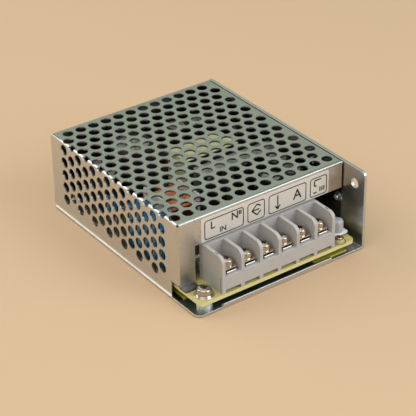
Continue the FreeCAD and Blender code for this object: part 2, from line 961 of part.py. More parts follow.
def make_choke_base():
    """Moulded end plates that hold the core off the board, joined by a low rail."""
    left, right = choke_window()
    y0, y1 = choke_axis_ys()
    half = choke_leg / 2 + choke_core_gap
    z = choke_axis_z()
    base = box(left, right, choke_y - 0.5, choke_y + 0.5, board_top, board_top + 1.5)
    for x0, x1 in ((left, left + choke_flange), (right - choke_flange, right)):
        plate = box(x0, x1, choke_y - choke_depth / 2, choke_y + choke_depth / 2,
                    board_top, board_top + choke_height)
        for y in (y0, y1):
            plate = plate.cut(box(x0 - 1, x1 + 1, y - half, y + half, z - half, z + half))
        base = base.fuse(plate)
    return base.removeSplitter()


def make_heat_sink():
    """Bent aluminium strip that stands across the board."""
    top = board_top + sink_height
    upright = box(sink_left, sink_right, sink_face_y, sink_face_y + sink_sheet, board_top, top)
    shelf = box(sink_left, sink_right, sink_face_y - sink_flange, sink_face_y + sink_sheet,
                top - sink_sheet, top)
    sink = upright.fuse(shelf).removeSplitter()
    z = power_screw_z()
    radius = clear_of(clip_screw_r, wire_sides)
    cuts = [rod_y(x, sink_face_y - 1, sink_face_y + sink_sheet + 1, z, radius, wire_sides)
            for x in power_xs]
    return sink.cut(Part.makeCompound(cuts))


def power_screw_z():
    return board_top + package_stand + package_tab_height - 3.0


def make_power_package(x):
    """Flat three-legged package with its metal tab against the heat sink."""
    back = sink_face_y - pad_thick
    base = board_top + package_stand
    half = package_width / 2
    tab = box(x - half, x + half, back - package_tab, back, base, base + package_tab_height)
    body = box(x - half, x + half, back - package_tab - package_depth, back - package_tab,
               base, base + package_height)
    package = tab.fuse(body)
    side = lead_side / 2
    y = back - package_tab - package_depth / 2
    for k in (-1, 0, 1):
        lead_x = x + k * lead_pitch
        package = package.fuse(box(lead_x - side, lead_x + side, y - side, y + side,
                                   board_top, base))
    package = package.removeSplitter()
    return package.cut(rod_y(x, back - package_tab - 1, back + 1, power_screw_z(),
                             clear_of(clip_screw_r, wire_sides), wire_sides))


def make_insulating_pads():
    pads = []
    base = board_top + package_stand
    half = package_width / 2 + 1
    for x in power_xs:
        pad = box(x - half, x + half, sink_face_y - pad_thick, sink_face_y,
                  base - 1, base + package_tab_height + 1)
        pads.append(pad.cut(rod_y(x, sink_face_y - 1, sink_face_y + 1, power_screw_z(),
                                  clear_of(clip_screw_r, wire_sides), wire_sides)))
    return pads


def make_package_screws():
    screws = []
    face = sink_face_y - pad_thick - package_tab
    for x in power_xs:
        head = rod_y(x, face - clip_head, face, power_screw_z(), clip_head_r, screw_sides)
        shank = rod_y(x, face, sink_face_y + sink_sheet, power_screw_z(), clip_screw_r,
                      wire_sides)
        screws.append(head.fuse(shank))
    return screws


def fuse_axis_z():
    return board_top + fuse_lift + fuse_r + fuse_cap_wall


def make_fuse_tube():
    return rod_x(fuse_left + 0.3, fuse_left + fuse_length - 0.3, fuse_y, fuse_axis_z(), fuse_r,
                 turned_sides)


def make_fuse_caps():
    z = fuse_axis_z()
    outer = fuse_r + fuse_cap_wall
    caps = []
    right = fuse_left + fuse_length
    for x0, x1, hollow0, hollow1 in ((fuse_left, fuse_left + fuse_cap, fuse_left + 0.3, right),
                                     (right - fuse_cap, right, fuse_left, right - 0.3)):
        cap = rod_x(x0, x1, fuse_y, z, outer, turned_sides)
        caps.append(cap.cut(rod_x(hollow0, hollow1, fuse_y, z, fuse_r, turned_sides)))
    return caps


def make_fuse_clips():
    """Sprung metal cradles under the fuse's two caps."""
    z = fuse_axis_z()
    outer = fuse_r + fuse_cap_wall
    clips = []
    for x in (fuse_left + 0.5, fuse_left + fuse_length - 0.5 - clip_width):
        half = outer + clip_sheet
        clip = box(x, x + clip_width, fuse_y - half, fuse_y + half, board_top, z + 1.0)
        clip = clip.cut(box(x - 1, x + clip_width + 1, fuse_y - outer, fuse_y + outer,
                            z, z + 3))
        clip = clip.cut(rod_x(x - 1, x + clip_width + 1, fuse_y, z, outer, turned_sides))
        clips.append(clip)
    return clips


def make_bridge_rectifier():
    """Flat four-legged rectifier with one slanted corner."""
    left = bridge_x - bridge_width / 2
    right = bridge_x + bridge_width / 2
    base = board_top + bridge_stand
    top = base + bridge_height
    body = prism([(left, bridge_y, base), (right, bridge_y, base), (right, bridge_y, top),
                  (left + 2.5, bridge_y, top), (left, bridge_y, top - 2.5)],
                 V(0, bridge_depth, 0))
    side = lead_side / 2
    y = bridge_y + bridge_depth / 2
    for k in range(4):
        x = left + 1.9 + k * (bridge_width - 3.8) / 3
        body = body.fuse(box(x - side, x + side, y - side, y + side, board_top, base))
    return body.removeSplitter()


def make_thermistor():
    z = board_top + 2 + thermistor_r
    half = thermistor_thick / 2
    disc = rod_y(thermistor_x, thermistor_y - half, thermistor_y + half, z, thermistor_r,
                 turned_sides)
    for side in (-1, 1):
        x = thermistor_x + side * wire_pitch / 2
        disc = disc.fuse(box(x - wire_r, x + wire_r, thermistor_y - wire_r,
                             thermistor_y + wire_r, board_top, z - thermistor_r / 2))
    return disc.removeSplitter()


def make_inductor_core():
    """Drum-shaped ferrite core standing on the board."""
    top = board_top + inductor_height
    core = rod(inductor_x, inductor_y, board_top, top, inductor_neck_r, turned_sides)
    for z in (board_top, top - inductor_flange):
        core = core.fuse(rod(inductor_x, inductor_y, z, z + inductor_flange, inductor_r,
                             turned_sides))
    return core.removeSplitter()


def make_inductor_winding():
    top = board_top + inductor_height
    coil = rod(inductor_x, inductor_y, board_top + inductor_flange, top - inductor_flange,
               inductor_r - 0.5, turned_sides)
    return coil.cut(rod(inductor_x, inductor_y, board_top, top, inductor_neck_r, turned_sides))


def make_chip(place, legs_each_side):
    """Small plastic package with bent legs on two sides."""
    x, y = place
    length = legs_each_side * chip_leg_pitch
    base = board_top + chip_stand
    body = box(x - length / 2, x + length / 2, y - 3.1, y + 3.1, base, base + chip_height)
    for k in range(legs_each_side):
        leg_x = x - length / 2 + (k + 0.5) * chip_leg_pitch
        for side in (-1, 1):
            y0, y1 = sorted((y + side * 3.1, y + side * 3.6))
            body = body.fuse(box(leg_x - 0.4, leg_x + 0.4, y0, y1, board_top,
                                 base + chip_height / 2))
    return body.removeSplitter()


def make_resistors():
    resistors = []
    for x, y in resistor_places:
        z = board_top + resistor_lift + resistor_r
        half = resistor_length / 2
        body = rod_x(x - half, x + half, y, z, resistor_r, 5)
        for side in (-1, 1):
            end = x + side * (half + 1.2)
            x0, x1 = sorted((x + side * half, end))
            body = body.fuse(box(x0, x1, y - 0.3, y + 0.3, z - 0.3, z + 0.3))
            x0, x1 = sorted((end, end - side * 0.6))
            body = body.fuse(box(x0, x1, y - 0.3, y + 0.3, board_top, z))
        resistors.append(body.removeSplitter())
    return resistors


save("chassis", make_chassis())
save("mesh_cover", make_mesh_cover())
save("cover_screws", *make_cover_screws())
save("front_label", make_front_label())
save("insulating_sheet", make_insulating_sheet())
save("standoffs", *make_standoffs())
save("board_screws", *make_board_screws())
save("board_washers", *make_board_washers())
save("circuit_board", make_board())
save("terminal_block", make_terminal_block())
save("terminal_plates", *make_terminal_plates())
for number in range(terminal_count):
    save("clamp_washer_%d" % (number + 1), make_clamp_washer(number))
    save("terminal_screw_%d" % (number + 1), make_terminal_screw(number))
save("indicator_lamp", make_lamp())
save("trimmer_body", make_trimmer_body())
save("trimmer_rotor", make_trimmer_rotor())
save("transformer_core", *make_transformer_core())
save("transformer_bobbin", make_transformer_bobbin())
save("transformer_winding", make_transformer_winding())
save("transformer_tape", make_transformer_tape())
save("transformer_pins", *make_transformer_pins())
save("bulk_capacitor", make_bulk_capacitor())
save("film_capacitor", make_film_capacitor())
save("output_capacitors", *make_cans(can_places, can_r, can_height))
save("small_capacitors", *make_cans(small_can_places, small_can_r, small_can_height))
save("varistor", make_varistor())
save("safety_capacitor", make_safety_capacitor())
save("choke_core", make_choke_core())
save("choke_windings", *make_choke_windings())
save("choke_base", make_choke_base())
save("heat_sink", make_heat_sink())
save("power_transistor", make_power_package(power_xs[0]))
save("output_diode", make_power_package(power_xs[1]))
save("insulating_pads", *make_insulating_pads())
save("package_screws", *make_package_screws())
save("fuse_tube", make_fuse_tube())
save("fuse_caps", *make_fuse_caps())
save("fuse_clips", *make_fuse_clips())
save("bridge_rectifier", make_bridge_rectifier())
save("thermistor", make_thermistor())
save("inductor_core", make_inductor_core())
save("inductor_winding", make_inductor_winding())
save("optocoupler", make_chip(optocoupler_place, 2))
save("control_chip", make_chip(control_chip_place, 4))
save("resistors", *make_resistors())
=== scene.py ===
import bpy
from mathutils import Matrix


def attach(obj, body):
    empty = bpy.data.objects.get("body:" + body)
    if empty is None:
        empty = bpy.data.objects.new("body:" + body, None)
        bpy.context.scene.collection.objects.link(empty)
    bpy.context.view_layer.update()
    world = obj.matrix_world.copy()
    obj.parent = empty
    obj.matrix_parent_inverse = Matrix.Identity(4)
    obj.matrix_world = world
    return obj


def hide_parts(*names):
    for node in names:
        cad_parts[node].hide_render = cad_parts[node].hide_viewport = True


bl_info = {
    "name": "Mesh case switching power supply",
    "version": (1, 0, 0),
    "blender": (4, 5, 0),
    "location": "3D View > Sidebar > Power supply",
    "description": "Dresses the solids of an enclosed power supply with its pieces and finishes",
    "category": "Object",
}

import math
from types import SimpleNamespace

import bmesh
import bpy
from mathutils import Vector

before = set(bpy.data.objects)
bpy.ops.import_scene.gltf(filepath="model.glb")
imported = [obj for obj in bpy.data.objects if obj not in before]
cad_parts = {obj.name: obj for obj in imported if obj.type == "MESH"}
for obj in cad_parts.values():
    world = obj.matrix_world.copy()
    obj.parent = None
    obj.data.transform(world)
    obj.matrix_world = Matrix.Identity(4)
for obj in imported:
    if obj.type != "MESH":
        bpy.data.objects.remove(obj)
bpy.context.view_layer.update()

# Pieces are modelled in millimetres from the floor's front left corner, with X along the
# terminals, Y to the back and Z up. The last step of each piece takes it to the frame, whose
# origin lies in the middle of the floor.
CASE_WIDTH = 82.0
CASE_LENGTH = 104.0
CASE_HEIGHT = 35.0
ORIGIN = (CASE_WIDTH / 2, CASE_LENGTH / 2, 0)

FLOOR_SHEET = 1.2
WALL_INNER = CASE_WIDTH - FLOOR_SHEET
COVER_FRONT = 13.0
COVER_LEFT = 0.5
COVER_SCREWS_Y = (27.0, 87.0)
COVER_SCREWS_Z = 30.5
TONGUES_Y = (30.0, 80.0)
TONGUE_LENGTH = 8

BOARD_BOTTOM = 4.4
BOARD_TOP = 6.0
SUPPORTS = ((6.8, 5.2), (6.8, 96.8), (72.6, 96.8), (72.6, 23.3))
BLOCK_LEFT = 12.2
BARRIER = 1.5
TERMINAL_Y = 5.4
PRINT_Y = COVER_FRONT - 0.15
LAMP_PLACE = (74.0, 7.6)
TRIMMER_PLACE = (71.2, 3.1)

# Rooms where painted shade darkens the sheet steel, each with its lowest and highest X, Y and Z:
# the inside of the case and the foot on the board
SHADED_ROOMS = (((0.9, 80.9), (13.4, 101.9), (1.1, 34.6)),
              ((1.5, 8.3), (9.5, 13.9), (5.9, 6.9)))
# Painted shade on the board: pale up to the first Y and dark from the second on
BOARD_SHADE_SPAN = (14.0, 18.0)

# Name, place, side in metres, power in watts and tint of each lamp
LAMPS = (("window_light", (-0.55, -0.35, 0.9), 1.2, 4.8, "#F4F8FF"),
         ("fill_light", (0.5, -0.85, 0.62), 0.8, 7.5, "#E4EEFF"),
         ("edge_light", (-0.5, 0.82, 0.56), 0.8, 5.0, "#FFFFFF"))
# Colours of the surround from level (0) to straight up (1)
SURROUND = ((0.0, "#A9A294"), (0.98, "#FFFFFF"), (0.12, "#8C9E8C"), (0.5, "#AABDA9"),
            (0.66, "#C3CDC0"), (0.8, "#E8EAE4"))
SURROUND_STRENGTH = 0.9
CAMERA_PLACE = (-0.3268, -0.4589, 0.3517)
CAMERA_TURN = (58.677, 0.786, -36.078)
CAMERA_LENS = 140.18


def hex_colour(text):
    """sRGB hex value to linear red, green and blue, with full alpha."""
    parts = [int(text[i:i + 2], 16) / 255 for i in (1, 3, 5)]
    linear = [c / 12.92 if c <= 0.04045 else ((c + 0.055) / 1.055) ** 2.4 for c in parts]
    return (*linear, 1.0)


def colour_property(label, text, about):
    return bpy.props.FloatVectorProperty(name=label, description=about, default=hex_colour(text),
                                         size=4, min=0, max=1, subtype="COLOR")


def size_property(label, value, about):
    return bpy.props.FloatProperty(name=label, description=about + " in millimetres",
                                   default=value, min=0)


class CoverSizes(bpy.types.PropertyGroup):
    hole: size_property("Hole", 4.5, "Width of one punched hole")
    sheet: size_property("Sheet", 0.8, "Thickness of the cover's sheet")
    bend: size_property("Bend", 0.95, "Outer radius of the cover's bends")
    flats: bpy.props.IntProperty(name="Hole sides", default=28, min=8,
                                 description="Sides that a round hole is drawn with")


class TerminalSizes(bpy.types.PropertyGroup):
    pitch: size_property("Pitch", 8.9, "Distance between two terminals")
    nose: size_property("Barrier nose", 3.0, "Radius of a barrier's front corner")
    head: size_property("Screw head", 2.8, "Radius of a terminal screw's head")


class SupplyColours(bpy.types.PropertyGroup):
    sheet: colour_property("Sheet steel", "#CCCAC5", "Zinc coat of the case")
    plastic: colour_property("Terminal block", "#B9B2AE", "Moulded plastic of the terminal block")
    label: colour_property("Label", "#E2DAD2", "Film of the front label")
    ink: colour_property("Ink", "#1A1615", "Printed marks")
    laminate: colour_property("Board", "#C4B66C", "Upper face of the circuit board")
    tape: colour_property("Tape", "#F8F0B4", "Tape round the transformer")
    epoxy: colour_property("Disc and case", "#0A6C9A", "Dipped discs and the blue film capacitor")
    floor: colour_property("Floor", "#D0AE8B", "Plain surface that the supply stands on")


# Mesh tools

# Direction of each axis and the turn that brings Z to it
AXES = {"X": (Vector((1, 0, 0)), (0, math.pi / 2, 0)),
        "Y": (Vector((0, 1, 0)), (-math.pi / 2, 0, 0)),
        "Z": (Vector((0, 0, 1)), (0, 0, 0))}


def deselect():
    if bpy.context.object and bpy.context.object.mode != "OBJECT":
        bpy.ops.object.mode_set(mode="OBJECT")
    bpy.ops.object.select_all(action="DESELECT")


def select(*objects):
    deselect()
    for obj in objects:
        obj.select_set(True)
    bpy.context.view_layer.objects.active = objects[0]


def settle():
    """Bake the selected object's place, turn and scale into its mesh."""
    bpy.ops.object.transform_apply(location=True, rotation=True, scale=True)
    return bpy.context.object


def open_edit(kind="FACE"):
    """Edit the active object with all of it selected."""
    bpy.ops.object.mode_set(mode="EDIT")
    bpy.ops.mesh.select_mode(type=kind)
    bpy.ops.mesh.select_all(action="SELECT")


def close_edit():
    bpy.ops.object.mode_set(mode="OBJECT")


def block(x0, x1, y0, y1, z0, z1):
    deselect()
    middle = ((x0 + x1) / 2, (y0 + y1) / 2, (z0 + z1) / 2)
    bpy.ops.mesh.primitive_cube_add(size=1, location=middle, scale=(x1 - x0, y1 - y0, z1 - z0))
    return settle()


def rod(place, length, radius, sides=32, axis="Z", end=None):
    """Rod or cone that starts at place and runs along the axis."""
    deselect()
    along, turn = AXES[axis]
    bpy.ops.mesh.primitive_cone_add(
        vertices=sides, radius1=radius, radius2=radius if end is None else end, depth=length,
        location=Vector(place) + along * (length / 2), rotation=turn)
    return settle()


def turned(place, profile, sides=32, axis="Z", closed=False):
    """A turned form: one circle drawn out ring by ring along a profile of (radius, height)."""
    deselect()
    radius, height = profile[0]
    bpy.ops.mesh.primitive_circle_add(vertices=sides, radius=radius, location=(0, 0, height),
                                      fill_type="NOTHING" if closed else "NGON")
    made = settle()
    open_edit("EDGE" if closed else "FACE")
    extrude = bpy.ops.mesh.extrude_edges_move if closed else bpy.ops.mesh.extrude_region_move
    for next_radius, next_height in profile[1:] + (profile[:1] if closed else []):
        extrude(TRANSFORM_OT_translate={"value": (0, 0, next_height - height)})
        ratio = next_radius / radius
        bpy.ops.transform.resize(value=(ratio, ratio, 1), center_override=(0, 0, 0))
        radius, height = next_radius, next_height
    bpy.ops.mesh.select_all(action="SELECT")
    bpy.ops.mesh.remove_doubles(threshold=0.0005)
    bpy.ops.mesh.normals_make_consistent(inside=False)
    close_edit()
    made.rotation_euler = AXES[axis][1]
    made.location = place
    return settle()


def pick(obj, kind, test):
    """Open a piece in edit mode with the faces or edges that pass the test selected."""
    select(obj)
    open_edit(kind)
    bpy.ops.mesh.select_all(action="DESELECT")
    mesh = bmesh.from_edit_mesh(obj.data)
    count = 0
    for part in (mesh.faces if kind == "FACE" else mesh.edges):
        if kind == "FACE":
            chosen = test(part.calc_center_median(), part.normal)
        else:
            ends = [vert.co for vert in part.verts]
            chosen = test((ends[0] + ends[1]) / 2, (ends[1] - ends[0]).normalized())
        if chosen:
            part.select_set(True)
            count += 1
    bmesh.update_edit_mesh(obj.data)
    if not count:
        raise RuntimeError("nothing was picked on " + obj.name)


def round_edges(obj, radius, segments, test):
    """Round the edges whose middle and direction pass the test."""
    pick(obj, "EDGE", test)
    bpy.ops.mesh.bevel(offset=radius, offset_type="OFFSET", segments=segments, affect="EDGES",
                       clamp_overlap=True)
    close_edit()


def delete_faces(obj, test):
    """Delete the faces whose middle and normal pass the test."""
    pick(obj, "FACE", test)
    bpy.ops.mesh.delete(type="FACE")
    close_edit()


def taper(obj, side, ratios, centre):
    """Scale the upper (1) or lower (-1) face along X and Y towards the centre."""
    pick(obj, "FACE", lambda c, n: n.z * side > 0.9)
    bpy.ops.transform.resize(value=(*ratios, 1), center_override=centre)
    close_edit()


def modify(obj, kind, **settings):
    select(obj)
    bpy.ops.object.modifier_add(type=kind)
    made = obj.modifiers[-1]
    for key, value in settings.items():
        setattr(made, key, value)
    bpy.ops.object.modifier_apply(modifier=made.name)
    return obj


def cut(obj, tool, how="DIFFERENCE"):
    modify(obj, "BOOLEAN", operation=how, object=tool, solver="EXACT")
    bpy.data.objects.remove(tool, do_unlink=True)


def weld(obj, tool):
    cut(obj, tool, "UNION")


def join(*objects):
    select(*objects)
    if len(objects) > 1:
        bpy.ops.object.join()
    return settle()


def soften(obj, width, segments=2, angle=40):
    return modify(obj, "BEVEL", width=width, segments=segments, limit_method="ANGLE",
                  angle_limit=math.radians(angle), use_clamp_overlap=True)


def spread(obj, offsets):
    """One copy of the piece at each offset, each with its own mesh, as one object."""
    made = []
    for offset in offsets:
        select(obj)
        bpy.ops.object.duplicate()
        bpy.context.object.location = offset
        made.append(bpy.context.object)
    bpy.data.objects.remove(obj, do_unlink=True)
    return join(*made)


def repeat(obj, count, step):
    modify(obj, "ARRAY", count=count, use_relative_offset=False, use_constant_offset=True,
           constant_offset_displace=step)


def rotate_about(obj, place, degrees):
    """Turn a piece about the upright line through place."""
    select(obj)
    open_edit()
    bpy.ops.transform.rotate(value=math.radians(degrees), orient_axis="Z",
                             orient_type="GLOBAL", center_override=place)
    close_edit()
    return obj


def soft_copy(node, *softening):
    """Merged copy of a solid from the frame, brought to millimetres, with softened edges."""
    made = bpy.data.objects.new(node + "_piece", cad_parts[node].data.copy())
    bpy.context.scene.collection.objects.link(made)
    made.scale = (1000, 1000, 1000)
    made.location = ORIGIN
    select(made)
    settle()
    open_edit()
    bpy.ops.mesh.remove_doubles(threshold=0.002)
    bpy.ops.mesh.dissolve_limited(angle_limit=math.radians(1))
    close_edit()
    return soften(made, *softening)


def finish(obj, name, material, node=None, body="housing"):
    """Shade a finished piece, take it to the frame and hide the solid that it stands for."""
    select(obj)
    bpy.ops.object.shade_smooth_by_angle(angle=math.radians(35))
    modify(obj, "WEIGHTED_NORMAL", keep_sharp=True, weight=100)
    obj.scale = (0.001, 0.001, 0.001)
    obj.location = [-c / 1000 for c in ORIGIN]
    select(obj)
    settle()
    obj.name = name
    obj.data.name = name
    obj.data.materials.clear()
    obj.data.materials.append(finishes[material])
    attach(obj, body)
    if node:
        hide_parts(node)


def dress(node, material):
    """Give a solid that stays its finish."""
    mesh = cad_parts[node].data
    mesh.materials.clear()
    mesh.materials.append(finishes[material])


# Finishes

finishes = {}


def add(tree, kind, inputs=None, **settings):
    """Add one node with its settings, and link or set its inputs."""
    made = tree.nodes.new(kind)
    for key, value in settings.items():
        setattr(made, key, value)
    for key, value in (inputs or {}).items():
        if isinstance(value, bpy.types.NodeSocket):
            tree.links.new(value, made.inputs[key])
        else:
            made.inputs[key].default_value = value
    return made


def shader(name, **inputs):
    """New material with its surface shader, whose plain values are set on its own sockets."""
    material = bpy.data.materials.new(name)
    material.use_nodes = True
    tree = material.node_tree
    surface = tree.nodes["Principled BSDF"]
    for key, value in inputs.items():
        surface.inputs[key.replace("_", " ")].default_value = value
    finishes[name] = material
    return tree, surface, add(tree, "ShaderNodeTexCoord").outputs["Object"]


def grained(name, base, low, high, size_mm, detail=2, depth_mm=0, strength=0.4,
            stretch=(1, 1, 1), **inputs):
    """Finish in two shares of one colour, whose grains may also stand up a little."""
    tree, surface, coords = shader(name, **inputs)
    place = add(tree, "ShaderNodeMapping", {"Vector": coords, "Scale": stretch}).outputs[0]
    grain = add(tree, "ShaderNodeTexNoise", {
        "Vector": place, "Scale": 1000 / size_mm, "Detail": detail}).outputs["Fac"]
    even = add(tree, "ShaderNodeMapRange", {"Value": grain, "From Min": 0.3, "From Max": 0.7})
    base = hex_colour(base) if isinstance(base, str) else base
    dark, light = [(*[min(1, c * share) for c in base[:3]], 1) for share in (low, high)]
    colour = add(tree, "ShaderNodeMix", {"Factor": even.outputs[0], "A": dark, "B": light},
                 data_type="RGBA").outputs["Result"]
    tree.links.new(colour, surface.inputs["Base Color"])
    if depth_mm:
        bump = add(tree, "ShaderNodeBump", {
            "Height": grain, "Distance": depth_mm / 1000, "Strength": strength})
        tree.links.new(bump.outputs[0], surface.inputs["Normal"])
    return SimpleNamespace(tree=tree, surface=surface, coords=coords, grain=grain, even=even,
                           colour=colour)


def inside_rooms(tree, coords, rooms):
    """1 within any of the rooms and 0 elsewhere."""
    place = add(tree, "ShaderNodeSeparateXYZ", {"Vector": coords}).outputs
    found = None
    for room in rooms:
        within = None
        for key, (low, high), origin in zip("XYZ", room, ORIGIN):
            middle, reach = ((low + high) / 2 - origin) / 1000, (high - low) / 2000
            near = add(tree, "ShaderNodeMath", {0: place[key], 1: middle, 2: reach},
                       operation="COMPARE").outputs[0]
            within = near if within is None else add(
                tree, "ShaderNodeMath", {0: within, 1: near}, operation="MULTIPLY").outputs[0]
        found = within if found is None else add(
            tree, "ShaderNodeMath", {0: found, 1: within}, operation="MAXIMUM").outputs[0]
    return found


def make_metals(colours):
    # Hot-dip zinc on cold rolled steel: a soft grey mirror broken by fine grain, with long faint
    # rolling lines that make its reflections streaky. Within the case and on the foot painted
    # shade darkens it, so the holes look into the dark.
    zinc = grained("rolled_zinc_sheet", colours.sheet, 0.86, 1.08, 0.35, 3, Metallic=1.0,
                   Roughness=0.34)
    tree, fine = zinc.tree, zinc.grain
    places = [add(tree, "ShaderNodeMapping", {"Vector": zinc.coords, "Scale": stretch})
              for stretch in ((1, 0.04, 1), (1, 1, 1))]
    lines, cloud = [add(tree, "ShaderNodeTexNoise", {
        "Vector": place.outputs[0], "Scale": 1000 / size_mm, "Detail": 2}).outputs["Fac"]
        for place, size_mm in zip(places, (0.5, 9))]
    # Painted shade: within the shaded rooms the colour drops to 0.27 of the sheet's
    coat = add(tree, "ShaderNodeMix", {
        "Factor": inside_rooms(tree, zinc.coords, SHADED_ROOMS), "A": zinc.colour,
        "B": (*[c * 0.27 for c in colours.sheet[:3]], 1)}, data_type="RGBA")
    patches, pits = [add(tree, "ShaderNodeMapRange", {
        "Value": noise, "From Min": 0.3, "From Max": 0.7, "To Min": low, "To Max": high})
        for noise, low, high in ((cloud, 0.27, 0.36), (fine, -0.03, 0.05))]
    rough = add(tree, "ShaderNodeMath", {0: patches.outputs[0], 1: pits.outputs[0]},
                operation="ADD")
    height = add(tree, "ShaderNodeMath", {0: fine, 1: lines}, operation="ADD")
    bump = add(tree, "ShaderNodeBump", {
        "Height": height.outputs[0], "Distance": 0.004 / 1000, "Strength": 0.5})
    for value, key in ((coat.outputs["Result"], "Base Color"), (rough.outputs[0], "Roughness"),
                       (bump.outputs[0], "Normal")):
        tree.links.new(value, zinc.surface.inputs[key])

    # Bright nickel on stamped steel: a clear warm mirror with soft pits.
    # Nickel on turned screws: the same mirror, darker and with slightly deeper pits.
    # Zinc on small turned screws: greyer and softer than nickel.
    for name, text, rough, pit in (("bright_nickel_plate", "#D6CFC6", 0.16, 0.003),
                                   ("warm_nickel_screw", "#BDB0A2", 0.17, 0.004),
                                   ("zinc_plated_screw", "#B9B8B2", 0.28, 0.006)):
        grained(name, text, 0.88, 1.05, 0.25, 2, pit, Metallic=1.0, Roughness=rough)
    # Turned zinc-plated pillars: pale and satin, with a dusty white bloom over the metal.
    grained("pale_zinc_pillar", "#CFD2CC", 0.85, 1.1, 1.5, Metallic=0.55, Roughness=0.42)
    # Bent aluminium strip: pale, soft and a little scuffed along the strip.
    grained("rolled_aluminium", "#D4D4D4", 0.9, 1.04, 0.3, 2, 0.004, stretch=(0.05, 1, 1),
            Metallic=1.0, Roughness=0.36)
    # Turned brass of the trimmer's rotor: warm yellow with fine rings lost at this size.
    grained("turned_brass", "#C9A68A", 0.85, 1.05, 0.2, Metallic=1.0, Roughness=0.22)
    # Enamelled copper wire: metal under a clear orange coat, so each turn has a sharp gleam.
    grained("enamelled_copper", "#E08C60", 0.75, 1.1, 1.2, Metallic=1.0, Roughness=0.3,
            Coat_Weight=0.6, Coat_Roughness=0.1)


def make_plastics(colours):
    # Glass-filled polyamide, moulded with a fine spark-eroded grain: dull with a broad sheen.
    block_plastic = grained("moulded_polyamide", colours.plastic, 0.93, 1.05, 0.3, 3, 0.012, 0.5,
                            Roughness=0.5, IOR=1.53)
    tree = block_plastic.tree
    cloud = add(tree, "ShaderNodeTexNoise", {
        "Vector": block_plastic.coords, "Scale": 1000 / 5, "Detail": 2})
    both = add(tree, "ShaderNodeMath", {0: block_plastic.grain, 1: cloud.outputs["Fac"]},
               operation="ADD")
    half = add(tree, "ShaderNodeMath", {0: both.outputs[0], 1: 0.5}, operation="MULTIPLY")
    tree.links.new(half.outputs[0], block_plastic.even.inputs["Value"])

    # Resin-coated paper laminate: pale yellow at the open front and its sawn edge, darkened by
    # painted shade inside the case, and green solder mask below.
    board = grained("board_laminate", colours.laminate, 0.86, 1.06, 0.6, 3, 0.01, 0.3,
                    Roughness=0.42, IOR=1.55)
    tree, face = board.tree, board.colour
    depth = add(tree, "ShaderNodeSeparateXYZ", {"Vector": board.coords}).outputs["Y"]
    pale_to, dark_from = [(y - ORIGIN[1]) / 1000 for y in BOARD_SHADE_SPAN]
    inside = add(tree, "ShaderNodeMapRange", {
        "Value": depth, "From Min": pale_to, "From Max": dark_from, "To Max": 0.9})
    normal = add(tree, "ShaderNodeNewGeometry").outputs["Normal"]
    facing = add(tree, "ShaderNodeSeparateXYZ", {"Vector": normal}).outputs["Z"]
    sawn, below = [add(tree, "ShaderNodeMath", {0: facing, 1: level}, operation="LESS_THAN")
                   for level in (0.5, -0.5)]
    # The first mix, dark olive inside the case, is painted shade
    for share, text in ((inside, "#3F3C1A"), (sawn, "#DCD09A"), (below, "#1B5A2A")):
        face = add(tree, "ShaderNodeMix", {
            "Factor": share.outputs[0], "A": face, "B": hex_colour(text)},
            data_type="RGBA").outputs["Result"]
    tree.links.new(face, board.surface.inputs["Base Color"])

    # Silver polyester film with a satin top coat: pale, with a fine metallic fleck.
    grained("satin_label_film", colours.label, 0.84, 1.1, 0.22, 3, 0.004, 0.3, Roughness=0.38,
            Metallic=0.25, IOR=1.5)
    # Screen-printed ink: dark and matt, a little uneven where the film's fleck shows through.
    grained("printed_ink", colours.ink, 0.7, 1.2, 0.2, Roughness=0.6, IOR=1.48)
    # Thin varnished fibre sheet: yellow-green and mottled, with a soft sheen.
    grained("insulating_film", "#B4AA2E", 0.8, 1.1, 2.5, 3, Roughness=0.35, IOR=1.5)
    # Frosted clear epoxy of the lamp: milky and mottled, letting some light through.
    grained("frosted_epoxy", "#CDCFD0", 0.62, 1.15, 0.9, 2, 0.02, 0.3, Roughness=0.3, IOR=1.54,
            Transmission_Weight=0.2)
    # Polyester tape over the transformer: glossy and yellow, with faint wrinkles.
    grained("polyester_tape", colours.tape, 0.86, 1.08, 2.0, 3, 0.06, stretch=(0.4, 1, 1),
            Roughness=0.3, IOR=1.6)
    # Dipped and moulded blue epoxy: deep colour under a wet-looking gloss.
    grained("blue_epoxy", colours.epoxy, 0.85, 1.15, 3, 2, 0.05, 0.3, Roughness=0.22, IOR=1.55)

    # Shrunk sleeve of the capacitors: near black, smooth and glossy.
    # Moulding compound of chips, packages and the bobbin: near black with a matt grain.
    # Pressed ferrite: charcoal with sintered grit.
    # White polyamide of the choke's ends and the lamp's flange: clean, with a soft sheen.
    # Cream moulded phenolic of the trimmer's case: warm and a little speckled.
    # Lacquer on the resistors: tan and slightly glossy.
    # Silicone pads under the packages: mid grey and dull.
    for name, text, rough, size_mm, depth_mm in (
            ("shrunk_sleeve", "#17181C", 0.28, 2.0, 0.02),
            ("moulding_compound", "#1B1B1B", 0.5, 0.25, 0.01),
            ("pressed_ferrite", "#2C2B2C", 0.62, 0.3, 0.02),
            ("white_polyamide", "#EEECE6", 0.45, 0.5, 0.01),
            ("cream_phenolic", "#C9BC8C", 0.45, 0.4, 0.01),
            ("lacquered_resistor", "#B69A70", 0.35, 0.4, 0.01),
            ("silicone_pad", "#8C8A84", 0.6, 0.5, 0.01)):
        grained(name, text, 0.85, 1.15, size_mm, 3, depth_mm, Roughness=rough, IOR=1.5)

    # Drawn glass tube of the fuse: clear, with a slight ripple.
    tree, surface, coords = shader("fuse_glass", Roughness=0.05, IOR=1.5, Transmission_Weight=1.0)
    ripple = add(tree, "ShaderNodeTexNoise", {"Vector": coords, "Scale": 1000 / 4, "Detail": 2})
    bump = add(tree, "ShaderNodeBump", {
        "Height": ripple.outputs["Fac"], "Distance": 0.02 / 1000, "Strength": 0.2})
    tree.links.new(bump.outputs[0], surface.inputs["Normal"])


